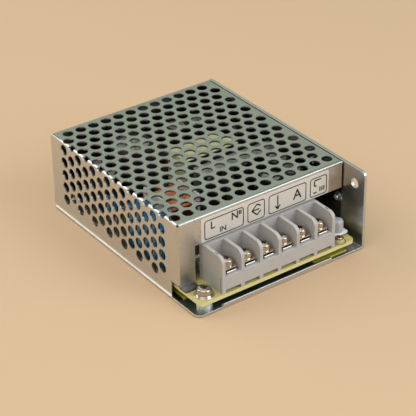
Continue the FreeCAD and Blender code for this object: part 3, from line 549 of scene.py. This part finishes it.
class SUPPLY_OT_finishes(bpy.types.Operator):
    """Make the finishes of all the pieces"""

    bl_idname = "supply.finishes"
    bl_label = "Finishes"

    def execute(self, context):
        colours = context.scene.supply_colours
        make_metals(colours)
        make_plastics(colours)
        return {"FINISHED"}


class SUPPLY_OT_stage(bpy.types.Operator):
    """Set the plain floor, the soft lights and the camera"""

    bl_idname = "supply.stage"
    bl_label = "Stage"

    def execute(self, context):
        deselect()
        bpy.ops.mesh.primitive_plane_add(size=6, location=(0, 0, 0))
        floor = context.object
        floor.name = "studio_floor"
        # Painted board: even and matt, with a slight warm cast.
        shader("painted_floor", Base_Color=context.scene.supply_colours.floor, Roughness=0.5,
               IOR=1.45)
        floor.data.materials.append(finishes["painted_floor"])

        world = bpy.data.worlds.new("studio_surround")
        context.scene.world = world
        world.use_nodes = True
        tree = world.node_tree
        tree.nodes.clear()
        way = add(tree, "ShaderNodeTexCoord").outputs["Generated"]
        height = add(tree, "ShaderNodeSeparateXYZ", {"Vector": way}).outputs["Z"]
        ramp = add(tree, "ShaderNodeValToRGB", {"Fac": height})
        stops = ramp.color_ramp.elements
        # A new ramp has two stops, which take the first two colours.
        for k, (place, text) in enumerate(SURROUND):
            stop = stops[k] if k < 2 else stops.new(place)
            stop.position = place
            stop.color = hex_colour(text)
        glow = add(tree, "ShaderNodeBackground", {
            "Color": ramp.outputs["Color"], "Strength": SURROUND_STRENGTH})
        add(tree, "ShaderNodeOutputWorld", {"Surface": glow.outputs[0]})

        for name, place, size, power, text in LAMPS:
            bpy.ops.object.light_add(type="AREA", location=place)
            lamp = context.object
            lamp.name = name
            lamp.data.size = size
            lamp.data.energy = power
            lamp.data.color = hex_colour(text)[:3]
            aim = Vector((0, 0, 0.02)) - Vector(place)
            lamp.rotation_euler = aim.to_track_quat("-Z", "Y").to_euler()

        bpy.ops.object.camera_add(location=CAMERA_PLACE,
                                  rotation=[math.radians(turn) for turn in CAMERA_TURN])
        camera = context.object
        camera.name = "photo_camera"
        camera.data.lens = CAMERA_LENS
        camera.data.sensor_width = 36
        camera.data.clip_start = 0.01
        context.scene.camera = camera
        context.scene.view_settings.view_transform = "Standard"
        return {"FINISHED"}


class SUPPLY_OT_mesh_cover(bpy.types.Operator):
    """Fold and punch the cover"""

    bl_idname = "supply.mesh_cover"
    bl_label = "Mesh cover"

    def execute(self, context):
        sizes = context.scene.cover_sizes
        left, right, front, back, top = COVER_LEFT, 80.65, COVER_FRONT, 102.6, CASE_HEIGHT
        cover = block(left, right, front, back, FLOOR_SHEET, top)
        delete_faces(cover, lambda c, n: n.z < -0.9)
        round_edges(cover, sizes.bend, 4, lambda c, d: c.z > top - 0.01
                    or (abs(d.z) > 0.9 and c.x < left + 0.01 and c.y < front + 0.01))
        modify(cover, "SOLIDIFY", thickness=sizes.sheet, offset=-1, use_even_offset=True)
        inner, before, through, below = left + sizes.sheet, front - 2, 1.1, -1.0
        for sides in (
                # The open front under the flange and the open right side
                (8.5, CASE_WIDTH, before, front + through, below, 23.0),
                (right - through, CASE_WIDTH, front + sizes.sheet, back - through, below, 27.0),
                # The notch at the front left corner, taller in the side
                (-1.0, 8.5, before, front + 4.7, below, BOARD_TOP),
                (-1.0, left + through, before, front + 4.7, below, 8.0),
                # The slit at the back left corner, the one beside the corner strip and the
                # flange's free right end
                (inner, inner + 0.3, back - through, 105.0, below, 33.1),
                (8.3, 8.6, before, front + 0.35, top - 0.9, top + 1.0),
                (right - 0.4, CASE_WIDTH, before, front + through, 20.0, top - 1.2)):
            cut(cover, block(*sides))
        cut(cover, rod((left + 0.35, front + 0.35, top - 1), 4, 0.65, 16))
        for y in COVER_SCREWS_Y:
            cut(cover, rod((79.0, y, COVER_SCREWS_Z), 3, 1.6, 24, "X"))
        foot = block(1.6, 8.15, 9.7, front + 0.8, BOARD_TOP, 6.8)
        round_edges(foot, 0.7, 3, lambda c, d: abs(d.z) > 0.9 and c.y < 10)
        weld(cover, foot)
        for y in TONGUES_Y:
            weld(cover, block(left, left + 0.8, y, y + TONGUE_LENGTH, 0.2, 1.4))
        self.punch(cover, sizes)
        finish(cover, "perforated_cover", "rolled_zinc_sheet", "mesh_cover")
        return {"FINISHED"}

    def punch(self, cover, sizes):
        """Staggered round holes in the top, carried over the bend and down the left side."""
        pitch, row, drop = 6.13, 5.326, 5.85
        first_x, first_y = 3.0, 18.05
        # Radius and reach inwards of the tools for the holes that run over the bend
        over, reach = 2.0, 1.7
        radius, top = sizes.hole / 2, CASE_HEIGHT
        above = ((first_y, 8, first_x, 13, radius, 1.8),
                 (first_y + row, 8, first_x + pitch / 2, 12, radius, 1.8),
                 (first_y + row, 7, COVER_LEFT + reach - over, 1, over, 0.9))
        for y, rows, x, count, wide, depth in above:
            tool = rod((x, y, top - depth), 3, wide, sizes.flats)
            repeat(tool, count, (pitch, 0, 0))
            repeat(tool, rows, (0, 2 * row, 0))
            cut(cover, tool)
        aside = ((first_y + row, top - 0.4 - drop, 4, radius),
                 (first_y + 2 * row, top - 0.4 - drop / 2, 5, radius),
                 (first_y + row, top - reach + over, 1, over))
        for y, z, count, wide in aside:
            tool = rod((-0.2, y, z), 2.6, wide, sizes.flats, "X")
            repeat(tool, count, (0, 0, -drop))
            repeat(tool, 7, (0, 2 * row, 0))
            cut(cover, tool)


class SUPPLY_OT_chassis(bpy.types.Operator):
    """Fold the floor and the right wall"""

    bl_idname = "supply.chassis"
    bl_label = "Chassis"

    def execute(self, context):
        chassis = block(0, CASE_WIDTH, 0, CASE_LENGTH, 0, CASE_HEIGHT)
        delete_faces(chassis, lambda c, n: n.z > 0.9 or n.x < -0.9 or abs(n.y) > 0.9)
        round_edges(chassis, 1.8, 5, lambda c, d: abs(d.y) > 0.9 and c.x > 81 and c.z < 1)
        modify(chassis, "SOLIDIFY", thickness=FLOOR_SHEET, offset=-1, use_even_offset=True)
        round_edges(chassis, 3.0, 7, lambda c, d: abs(d.z) > 0.9 and c.x < 0.1 and c.z < 1.3)
        round_edges(chassis, 2.2, 6, lambda c, d: abs(d.x) > 0.9 and c.x > 80
                    and c.z > CASE_HEIGHT - 0.1)
        round_edges(chassis, 0.55, 4, lambda c, d: abs(d.z) < 0.1 and c.z < 0.05 and c.x < 79
                    and (c.y < 3 or c.x < 3))
        # Before the small edges of the welds and cuts, which would hold the rounding back
        soften(chassis, 0.3, 3, 50)
        # The lip at the front edge, a little shorter at its top
        lip = block(11.3, 66.0, 0, 1.0, 0.6, 2.3)
        taper(lip, 1, (52.7 / 54.7, 1), (38.65, 0, 0))
        round_edges(lip, 0.3, 3, lambda c, d: c.z > 2.2)
        weld(chassis, lip)
        # Pressed collars of two side screws
        for y in (15.3, 85.3):
            weld(chassis, turned((WALL_INNER + 0.2, y, 17.5), [
                (2.3, 0), (2.0, -0.4), (1.8, -1.1), (1.6, -1.5)], 32, "X"))
            cut(chassis, rod((WALL_INNER - 2.5, y, 17.5), 5, 1.25, 24, "X"))
        for x in (13.0, 69.0):
            for y in (24.5, 79.5):
                cut(chassis, rod((x, y, -1), 4, 1.7, 32))
        for y in TONGUES_Y:
            cut(chassis, block(0.7, 1.9, y - 0.2, y + TONGUE_LENGTH + 0.2, -1, 2))
        # Countersunk seats of the cover's screws
        for y in COVER_SCREWS_Y:
            cut(chassis, rod((WALL_INNER - 0.01, y, COVER_SCREWS_Z), FLOOR_SHEET + 0.02, 1.5, 32,
                             "X", 2.6))
        # Fixing hole near the wall's front corner
        cut(chassis, rod((WALL_INNER - 1, 5.8, 28.0), 4, 2.2, 40, "X"))
        finish(chassis, "chassis_sheet", "rolled_zinc_sheet", "chassis")
        return {"FINISHED"}


def pan_head(place, radius, height, angle, shank=None):
    """Domed screw head with a cross recess, on a ridged shank of (radius, length)."""
    x, y, z = place
    profile = [(radius * wide, height * level) for wide, level in (
        (0.94, 0), (1, 0.1), (1, 0.42), (0.97, 0.6), (0.9, 0.76), (0.78, 0.87), (0.6, 0.95),
        (0.3, 1))]
    if shank:
        width, length = shank
        ridges = []
        level = -length
        while level < -0.6:
            ridges += [(width * 0.82, level), (width, level + 0.25)]
            level += 0.5
        profile = ridges + [(width * 0.82, -0.1)] + profile
    head = turned(place, profile, 40)
    # Two crossed slots that narrow downwards
    reach, half = radius * 0.56, radius * 0.17
    for a, b, ratios in ((reach, half, (0.55, 0.7)), (half, reach, (0.7, 0.55))):
        tool = block(x - a, x + a, y - b, y + b, z + height - 1.5, z + height + 1)
        taper(tool, -1, ratios, place)
        cut(head, tool)
    soften(head, 0.05, 2, 50)
    return rotate_about(head, place, angle)


def ring(place, inner, outer, low, high, split=None):
    """Flat ring with softened corners, cut through at the angle split."""
    e = min(0.08, (high - low) / 4)
    made = turned(place, [(inner, low + e), (inner + e, low), (outer - e, low), (outer, low + e),
                          (outer, high - e), (outer - e, high), (inner + e, high),
                          (inner, high - e)], 40, closed=True)
    if split is not None:
        x, y, z = place
        tool = block(x, x + outer + 1, y - 0.22, y + 0.22, z + low - 1, z + high + 1)
        cut(made, rotate_about(tool, place, split))
    return made


class SUPPLY_OT_case_screws(bpy.types.Operator):
    """Make the board screws, washers, pillars and cover screws"""

    bl_idname = "supply.case_screws"
    bl_label = "Case screws"

    def execute(self, context):
        washer_top, spring_top = 6.3, 6.85
        heads = [pan_head((x, y, spring_top), 3.1, 2.55, 20 + 50 * k)
                 for k, (x, y) in enumerate(SUPPORTS)]
        finish(join(*heads), "board_screw_heads", "warm_nickel_screw",
               "board_screws")
        rings = []
        for k, (x, y) in enumerate(SUPPORTS):
            rings.append(ring((x, y, 0), 1.6, 4.0, BOARD_TOP, washer_top))
            rings.append(ring((x, y, 0), 1.6, 3.3, washer_top, spring_top, 200 + 70 * k))
        finish(join(*rings), "board_screw_washers", "bright_nickel_plate",
               "board_washers")
        pillars = [turned((x, y, 0), [(3.1, FLOOR_SHEET), (3.1, 4.25), (3.0, BOARD_BOTTOM)], 40)
                   for x, y in SUPPORTS]
        finish(join(*pillars), "board_pillars", "pale_zinc_pillar", "standoffs")
        heads = []
        z = COVER_SCREWS_Z
        for y in COVER_SCREWS_Y:
            head = turned((0, y, z), [
                (1.4, 76.4), (1.4, WALL_INNER), (2.55, 81.95), (2.2, CASE_WIDTH)], 32, "X")
            for wide, tall in ((1.6, 0.35), (0.35, 1.6)):
                cut(head, block(81.2, 83, y - wide, y + wide, z - tall, z + tall))
            heads.append(head)
        finish(join(*heads), "cover_screw_heads", "zinc_plated_screw",
               "cover_screws")
        return {"FINISHED"}


def bay_centre(index):
    pitch = bpy.context.scene.terminal_sizes.pitch
    return BLOCK_LEFT + BARRIER / 2 + pitch * (index + 0.5)


class SUPPLY_OT_terminal_block(bpy.types.Operator):
    """Mould the terminal block and set its contact plates"""

    bl_idname = "supply.terminal_block"
    bl_label = "Terminal block"

    def execute(self, context):
        sizes = context.scene.terminal_sizes
        left, front, back, floor, top = BLOCK_LEFT, 0.7, 15.5, 13.3, 22.0
        right = left + sizes.pitch * 6 + BARRIER
        body = block(left, right, front, back, BOARD_TOP, top)
        round_edges(body, sizes.nose, 8, lambda c, d: abs(d.x) > 0.9 and c.y < front + 0.1
                    and c.z > top - 0.1)
        near, far = left + BARRIER, left + sizes.pitch
        x = bay_centre(0)
        # In each bay: the open room, the pocket round the plate, the gap between the feet and
        # the screw's well
        for sides in ((near, far, front - 1, back - 3.2, floor, top + 1),
                      (near, far, 2.7, back - 3.4, floor - 3.5, floor + 1),
                      (near + 0.1, far - 0.1, front - 1, back - 4.2, 5.0, BOARD_TOP + 1.5),
                      (x - 2, x + 2, 3.4, 7.4, 8.5, floor + 1)):
            tool = block(*sides)
            repeat(tool, 6, (sizes.pitch, 0, 0))
            cut(body, tool)
        # Upright slots in both ends and a small notch on each end barrier
        for x in (left, right):
            for y in (front + 0.9, back - 1.8):
                cut(body, block(x - 0.5, x + 0.5, y, y + 0.8, 5.0, 12.8))
        for x in (left + BARRIER / 2, right - BARRIER / 2):
            cut(body, block(x - 0.35, x + 0.35, 4.5, 6.5, top - 0.6, top + 1))
        soften(body, 0.18, 3, 40)
        finish(body, "terminal_block_moulding", "moulded_polyamide",
               "terminal_block")

        x = bay_centre(0)
        plate = block(x - 2.2, x + 2.2, 1.8, 12.2, floor, floor + 1.1)
        round_edges(plate, 0.3, 3, lambda c, d: abs(d.x) > 0.9 and c.y < 2)
        cut(plate, rod((x, TERMINAL_Y, 12), 4, 1.7, 24))
        weld(plate, block(x - 1.5, x + 1.5, 12.25, 13.2, 3.2, floor + 0.9))
        soften(plate, 0.1, 2, 50)
        plates = spread(plate, [(sizes.pitch * k, 0, 0) for k in range(6)])
        finish(plates, "contact_plates", "bright_nickel_plate",
               "terminal_plates")
        return {"FINISHED"}


class SUPPLY_OT_terminal_screws(bpy.types.Operator):
    """Make each terminal's screw and its clamp"""

    bl_idname = "supply.terminal_screws"
    bl_label = "Terminal screws"

    def execute(self, context):
        radius = context.scene.terminal_sizes.head
        clamp_low, clamp_top, spring_top, seat = 15.0, 15.45, 15.84, 15.86
        y = TERMINAL_Y
        for k in range(6):
            x = bay_centre(k)
            screw = pan_head((x, y, seat), radius, 2.5, 15 + 37 * k, (1.4, 6.4))
            finish(screw, "terminal_screw_%d_turned" % (k + 1), "warm_nickel_screw",
                   "terminal_screw_%d" % (k + 1), "screw_%d" % (k + 1))
            plate = block(x - 3, x + 3, y - 3, y + 3, clamp_low, clamp_top)
            round_edges(plate, 0.6, 3, lambda c, d: abs(d.z) > 0.9)
            cut(plate, rod((x, y, 14), 3, 1.7, 24))
            soften(plate, 0.08, 2, 50)
            spring = ring((x, y, 0), 1.6, 2.6, clamp_top, spring_top, 100 + 61 * k)
            finish(join(plate, spring), "clamp_%d_stamped" % (k + 1), "bright_nickel_plate",
                   "clamp_washer_%d" % (k + 1), "clamp_%d" % (k + 1))
        return {"FINISHED"}


def printed_sheet(x, z, wide, tall, angle=0):
    """Upright rectangle just before the label, turned in its own plane."""
    deselect()
    bpy.ops.mesh.primitive_plane_add(size=1, location=(x, PRINT_Y, z),
                                     rotation=(math.pi / 2, angle, 0))
    bpy.context.object.scale = (wide, tall, 1)
    return settle()


def printed_frame(x0, x1, z0, z1):
    """Thin rounded outline."""
    made = printed_sheet((x0 + x1) / 2, (z0 + z1) / 2, x1 - x0, z1 - z0)
    open_edit()
    bpy.ops.mesh.bevel(offset=1.3, segments=6, affect="VERTICES")
    bpy.ops.mesh.select_mode(type="FACE")
    bpy.ops.mesh.select_all(action="SELECT")
    bpy.ops.mesh.inset(thickness=0.42, use_even_offset=True)
    bpy.ops.mesh.delete(type="FACE")
    close_edit()
    return made


def printed_text(words, x, z, size):
    deselect()
    bpy.ops.object.text_add(location=(x, PRINT_Y, z), rotation=(math.pi / 2, 0, 0))
    made = bpy.context.object
    made.data.body = words
    made.data.size = size
    made.data.offset = 0.07
    made.data.align_x = "CENTER"
    made.data.align_y = "CENTER"
    select(made)
    bpy.ops.object.convert(target="MESH")
    return settle()


def printed_stroke(x0, z0, x1, z1):
    """Straight stroke between two points."""
    return printed_sheet((x0 + x1) / 2, (z0 + z1) / 2, math.hypot(x1 - x0, z1 - z0), 0.58,
                         -math.atan2(z1 - z0, x1 - x0))


class SUPPLY_OT_label(bpy.types.Operator):
    """Lay the label on the front flange and print its plain marks"""

    bl_idname = "supply.label"
    bl_label = "Label"

    def execute(self, context):
        film = block(11.4, 73.4, COVER_FRONT - 0.13, COVER_FRONT, 23.2, 33.5)
        round_edges(film, 0.8, 5, lambda c, d: abs(d.y) > 0.9)
        finish(film, "front_label_film", "satin_label_film", "front_label")
        marks = [printed_frame(*sides, 23.7, 32.2) for sides in
                 ((12.85, 31.45), (33.2, 41.6), (43.4, 62.1), (63.9, 72.5))]
        marks += [printed_text("L", 16.75, 29.2, 4.6), printed_text("N", 27.2, 29.5, 4.6),
                  printed_text("IN", 21.6, 25.9, 3.2), printed_text("A", 57.6, 28.0, 6.2)]
        marks += [printed_stroke(*ends) for ends in (
            # Two short bars beside the N
            (29.3, 29.4, 29.3, 31.2), (30.1, 29.4, 30.1, 31.2),
            # The down arrow
            (47.9, 31.0, 47.9, 24.9), (47.9, 24.9, 46.7, 26.6), (47.9, 24.9, 49.1, 26.6),
            # The small arrow sign
            (35.3, 28.4, 38.9, 28.4), (35.3, 28.4, 37.9, 30.8), (35.3, 28.4, 37.9, 26.0),
            (37.9, 26.0, 39.6, 27.6), (37.9, 30.8, 39.6, 29.6),
            # The strokes in the last frame
            (66.2, 30.9, 69.6, 30.9), (66.2, 30.9, 66.2, 28.4), (66.2, 28.4, 67.2, 28.4),
            (65.6, 25.4, 67.4, 25.4), (69.0, 25.4, 69.0, 27.4), (70.0, 25.4, 70.0, 27.4),
            (71.0, 25.4, 71.0, 27.4))]
        ink = join(*marks)
        select(ink)
        open_edit()
        bpy.ops.mesh.extrude_region_move(TRANSFORM_OT_translate={"value": (0, 0.02, 0)})
        bpy.ops.mesh.select_all(action="SELECT")
        bpy.ops.mesh.normals_make_consistent(inside=False)
        close_edit()
        finish(ink, "label_print", "printed_ink")
        return {"FINISHED"}


class SUPPLY_OT_board(bpy.types.Operator):
    """Saw the board and set the lamp and the trimmer on it"""

    bl_idname = "supply.board"
    bl_label = "Board, lamp and trimmer"

    def execute(self, context):
        board = block(2.0, 77.4, 0.5, 101.5, BOARD_BOTTOM, BOARD_TOP)
        round_edges(board, 2.0, 6, lambda c, d: abs(d.z) > 0.9 and c.x > 70)
        round_edges(board, 0.7, 3, lambda c, d: abs(d.z) > 0.9 and c.x < 3)
        for x, y in SUPPORTS:
            cut(board, rod((x, y, 3), 5, 1.6, 24))
        soften(board, 0.08, 1, 50)
        finish(board, "board_sheet", "board_laminate", "circuit_board")
        dress("insulating_sheet", "insulating_film")

        x, y = LAMP_PLACE
        lens = turned((x, y, 0), [(2.4, 7.9), (2.5, 8.0), (2.5, 11.7), (2.42, 12.25),
                                  (2.1, 12.75), (1.6, 13.0), (0.9, 13.08), (0.3, 13.1)], 40)
        finish(lens, "lamp_lens_cast", "frosted_epoxy", "indicator_lamp")
        flange = block(x - 3.2, x + 3.3, y - 2.9, y + 2.9, 7.0, 7.9)
        round_edges(flange, 0.6, 4, lambda c, d: abs(d.z) > 0.9)
        soften(flange, 0.15, 2)
        finish(flange, "lamp_flange", "white_polyamide", "indicator_lamp")
        legs = [block(leg - 0.25, leg + 0.25, y - 0.25, y + 0.25, BOARD_TOP, 9.5)
                for leg in (x - 1.27, x + 1.27)]
        cup = turned((x - 0.9, y, 0), [(0.3, 8.6), (0.5, 8.7), (0.9, 9.8), (0.6, 10.0)], 20)
        finish(join(cup, *legs), "lamp_leads", "bright_nickel_plate")

        x, y = TRIMMER_PLACE
        case_top = 7.6
        case = turned((x, y, 0), [(2.05, BOARD_TOP), (2.1, 6.1), (2.1, 7.5), (2.0, case_top),
                                  (1.65, case_top), (1.6, 7.0)], 40)
        finish(case, "trimmer_case", "cream_phenolic", "trimmer_body")
        rotor = turned((x, y, 0), [(1.45, 6.96), (1.52, 7.05), (1.52, 7.9), (1.35, 8.1),
                                   (0.6, 8.15)], 36)
        for a, b in ((1.0, 0.3), (0.3, 1.0)):
            cut(rotor, block(x - a, x + a, y - b, y + b, 7.2, 9))
        soften(rotor, 0.04, 2, 50)
        finish(rotor, "trimmer_rotor_turned", "turned_brass", "trimmer_rotor",
               "trimmer")
        mark = ring((x, y, 0), 1.72, 1.98, case_top, case_top + 0.04, 90)
        finish(mark, "trimmer_print", "printed_ink")
        mark = ring((x, y, 0), 2.5, 2.8, BOARD_TOP, BOARD_TOP + 0.03, 180)
        finish(mark, "board_print", "printed_ink")
        return {"FINISHED"}


def can(x, y, radius, height):
    """Sleeve of a capacitor and its scored metal top."""
    low, top, sides = BOARD_TOP, BOARD_TOP + height, 36
    sleeve = turned((x, y, 0), [(radius * wide, level) for wide, level in (
        (0.86, low), (1, low + 0.4), (1, low + 1.4), (0.94, low + 1.9), (1, low + 2.4),
        (1, top - 0.5), (0.96, top - 0.15), (0.9, top), (0.76, top), (0.74, top - 0.12))], sides)
    lid = turned((x, y, 0), [(radius * 0.76, top - 0.5), (radius * 0.76, top - 0.14),
                             (radius * 0.7, top - 0.06)], sides)
    reach = radius * 0.6
    for angle in (20, 110):
        tool = block(x - reach, x + reach, y - 0.15, y + 0.15, top - 0.2, top + 1)
        cut(lid, rotate_about(tool, (x, y, top), angle))
    return sleeve, lid


def dipped_disc(place, radius, thick, axis):
    """Dipped disc with a soft rim and two skirts, and the spots where its leads come out."""
    made = turned(place, [(radius * wide, thick / 2 * level) for wide, level in (
        (0.55, -1), (0.8, -0.92), (0.94, -0.6), (1, 0), (0.94, 0.6), (0.8, 0.92), (0.55, 1))],
        40, axis)
    x, y, z = place
    spots = [(x, y + side) if axis == "X" else (x + side, y) for side in (-2.5, 2.5)]
    for spot in spots:
        weld(made, rod((*spot, z - radius - 0.6), radius * 0.5, 0.55, 16, "Z", 1.0))
    return made, spots


class SUPPLY_OT_capacitors(bpy.types.Operator):
    """Make the capacitors and the dipped discs"""

    bl_idname = "supply.capacitors"
    bl_label = "Capacitors"

    def execute(self, context):
        for node, places, radius, height in (
                ("bulk_capacitor", [(28.5, 84.5)], 9.0, 23.0),
                ("output_capacitors", [(70.6, 33.0), (60.2, 33.0), (71.6, 43.4), (54.8, 91.0),
                                       (65.5, 91.0)], 5.0, 20.0),
                ("small_capacitors", [(12.5, 89.5), (12.5, 79.5)], 4.0, 17.0)):
            x0, y0 = places[0]
            sleeve, lid = can(x0, y0, radius, height)
            offsets = [(x - x0, y - y0, 0) for x, y in places]
            finish(spread(sleeve, offsets), node + "_sleeve", "shrunk_sleeve",
                   node)
            finish(spread(lid, offsets), node + "_lid", "rolled_aluminium")

        case = block(4.0, 12.0, 28.5, 53.5, BOARD_TOP + 0.4, 24.0)
        soften(case, 0.7, 4)
        feet = [block(6.5, 9.5, y, y + 1.5, BOARD_TOP, BOARD_TOP + 1) for y in (30, 50.5)]
        finish(join(case, *feet), "film_capacitor_case", "blue_epoxy",
               "film_capacitor")

        ends = []
        for node, place, radius, thick, axis, lead_top, material, slot in (
                ("varistor", (20.0, 33.0, 14.6), 7.2, 4.0, "Y", 9, "blue_epoxy", "blue_epoxy"),
                ("safety_capacitor", (5.2, 65.0, 18.1), 3.6, 3.0, "X", 16.5, "blue_epoxy",
                 "blue_epoxy"),
                ("thermistor", (41.0, 21.0, 12.6), 4.5, 4.0, "Y", 9.5, "moulding_compound",
                 "black_plastic")):
            disc, spots = dipped_disc(place, radius, thick, axis)
            finish(disc, node + "_dipped", material, node)
            ends += [(*spot, lead_top) for spot in spots]
        leads = [rod((x, y, BOARD_TOP), top - BOARD_TOP, 0.35, 12) for x, y, top in ends]
        finish(join(*leads), "disc_leads", "bright_nickel_plate")
        return {"FINISHED"}


class SUPPLY_OT_transformer(bpy.types.Operator):
    """Wind and tape the transformer"""

    bl_idname = "supply.transformer"
    bl_label = "Transformer"

    def execute(self, context):
        dress("transformer_core", "pressed_ferrite")
        dress("transformer_pins", "bright_nickel_plate")
        finish(soft_copy("transformer_bobbin", 0.15), "bobbin_moulding", "moulding_compound",
               "transformer_bobbin")
        finish(soft_copy("transformer_winding", 0.5, 3, 30), "transformer_coil",
               "polyester_tape", "transformer_winding")
        band = soft_copy("transformer_tape", 0.12)
        lap = block(42.0, 63.0, 62.2, 63.6, 26.6, 26.72)
        finish(join(band, lap), "transformer_band", "polyester_tape",
               "transformer_tape")
        return {"FINISHED"}


class SUPPLY_OT_choke(bpy.types.Operator):
    """Wind the mains choke and the output inductor"""

    bl_idname = "supply.choke"
    bl_label = "Choke and inductor"

    def execute(self, context):
        dress("choke_core", "pressed_ferrite")
        finish(soft_copy("choke_base", 0.2), "choke_bobbin", "white_polyamide",
               "choke_base")
        # Turns of round wire, each a rounded square loop round the core's leg
        first, wire = 18.6, 0.85
        turns = []
        for y in (47.1, 56.9):
            loop = block(first, first + wire, y - 3.7, y + 3.7, 8.7, 20.3)
            delete_faces(loop, lambda c, n: abs(n.x) > 0.9)
            round_edges(loop, 1.6, 4, lambda c, d: abs(d.x) > 0.9)
            turns.append(loop)
        loops = join(*turns)
        modify(loops, "SOLIDIFY", thickness=0.8, offset=-1, use_even_offset=True)
        soften(loops, 0.36, 3, 60)
        repeat(loops, 15, (wire + 0.03, 0, 0))
        finish(loops, "choke_turns", "enamelled_copper", "choke_windings")

        place = (43.8, 90.0, 0)
        core = turned(place, [
            (5.1, BOARD_TOP), (5.4, 6.2), (5.4, 7.4), (5.2, 7.6), (2.6, 7.6), (2.6, 15.4),
            (5.2, 15.4), (5.4, 15.6), (5.4, 16.8), (5.2, 17.0)], 40)
        finish(core, "inductor_drum", "pressed_ferrite", "inductor_core")
        profile = []
        for k in range(12):
            z = 7.7 + k * 0.64
            profile += [(4.6, z), (4.9, z + 0.16), (4.9, z + 0.44), (4.6, z + 0.6)]
        finish(turned(place, profile, 40), "inductor_turns", "enamelled_copper",
               "inductor_winding")
        return {"FINISHED"}


class SUPPLY_OT_power_parts(bpy.types.Operator):
    """Dress the heat sink, the packages, the fuse and the small parts"""

    bl_idname = "supply.power_parts"
    bl_label = "Power parts"

    def execute(self, context):
        finish(soft_copy("heat_sink", 0.25, 3), "heat_sink_strip", "rolled_aluminium",
               "heat_sink")
        for node, name in (("power_transistor", "transistor_package"),
                           ("output_diode", "diode_package"),
                           ("bridge_rectifier", "rectifier_package"),
                           ("optocoupler", "coupler_package"),
                           ("control_chip", "control_package")):
            finish(soft_copy(node, 0.15), name, "moulding_compound", node)
        dress("insulating_pads", "silicone_pad")
        heads = [turned((x, 52.0, 21.6), [(2.5, 0), (2.6, -0.3), (2.3, -1.0), (1.5, -1.5)],
                        32, "Y") for x in (45.0, 62.0)]
        finish(join(*heads), "package_screw_heads", "zinc_plated_screw",
               "package_screws")

        y, z = 21.0, 9.85
        caps = [turned((x, y, z), profile, 32, "X") for x, profile in (
            (13.0, [(2.3, 0), (2.6, 0.15), (2.65, 0.5), (2.65, 4.7), (2.5, 5.0)]),
            (28.0, [(2.5, 0), (2.65, 0.3), (2.65, 4.5), (2.6, 4.85), (2.3, 5.0)]))]
        finish(join(*caps), "fuse_end_caps", "warm_nickel_screw", "fuse_caps")
        tube = turned((17.6, y, z), [(2.4, 0), (2.4, 10.8)], 32, "X")
        finish(tube, "fuse_glass_tube", "fuse_glass", "fuse_tube")
        wire = rod((17.8, y, z), 10.4, 0.15, 10, "X")
        finish(wire, "fuse_wire", "zinc_plated_screw")
        finish(soft_copy("fuse_clips", 0.1), "fuse_cradles", "bright_nickel_plate",
               "fuse_clips")
        finish(soft_copy("resistors", 0.15), "resistor_bodies", "lacquered_resistor",
               "resistors")
        return {"FINISHED"}


STEPS = (SUPPLY_OT_finishes, SUPPLY_OT_stage, SUPPLY_OT_mesh_cover, SUPPLY_OT_chassis,
         SUPPLY_OT_case_screws, SUPPLY_OT_terminal_block, SUPPLY_OT_terminal_screws,
         SUPPLY_OT_label, SUPPLY_OT_board, SUPPLY_OT_capacitors, SUPPLY_OT_transformer,
         SUPPLY_OT_choke, SUPPLY_OT_power_parts)

GROUPS = (("cover_sizes", CoverSizes), ("terminal_sizes", TerminalSizes),
          ("supply_colours", SupplyColours))


class SUPPLY_PT_pieces(bpy.types.Panel):
    """Pieces and settings of the power supply"""

    bl_label = "Power supply"
    bl_idname = "SUPPLY_PT_pieces"
    bl_space_type = "VIEW_3D"
    bl_region_type = "UI"
    bl_category = "Power supply"

    def draw(self, context):
        layout = self.layout
        for step in STEPS:
            layout.operator(step.bl_idname)
        for name, group in GROUPS:
            settings = getattr(context.scene, name)
            for key in settings.bl_rna.properties.keys():
                if key not in ("rna_type", "name"):
                    layout.prop(settings, key)


def register():
    for name, group in GROUPS:
        bpy.utils.register_class(group)
        setattr(bpy.types.Scene, name, bpy.props.PointerProperty(type=group))
    for step in (*STEPS, SUPPLY_PT_pieces):
        bpy.utils.register_class(step)


def unregister():
    for step in reversed((*STEPS, SUPPLY_PT_pieces)):
        bpy.utils.unregister_class(step)
    for name, group in reversed(GROUPS):
        delattr(bpy.types.Scene, name)
        bpy.utils.unregister_class(group)


def main():
    register()
    for step in STEPS:
        getattr(bpy.ops.supply, step.bl_idname.split(".")[1])()


if __name__ == "__main__":
    main()
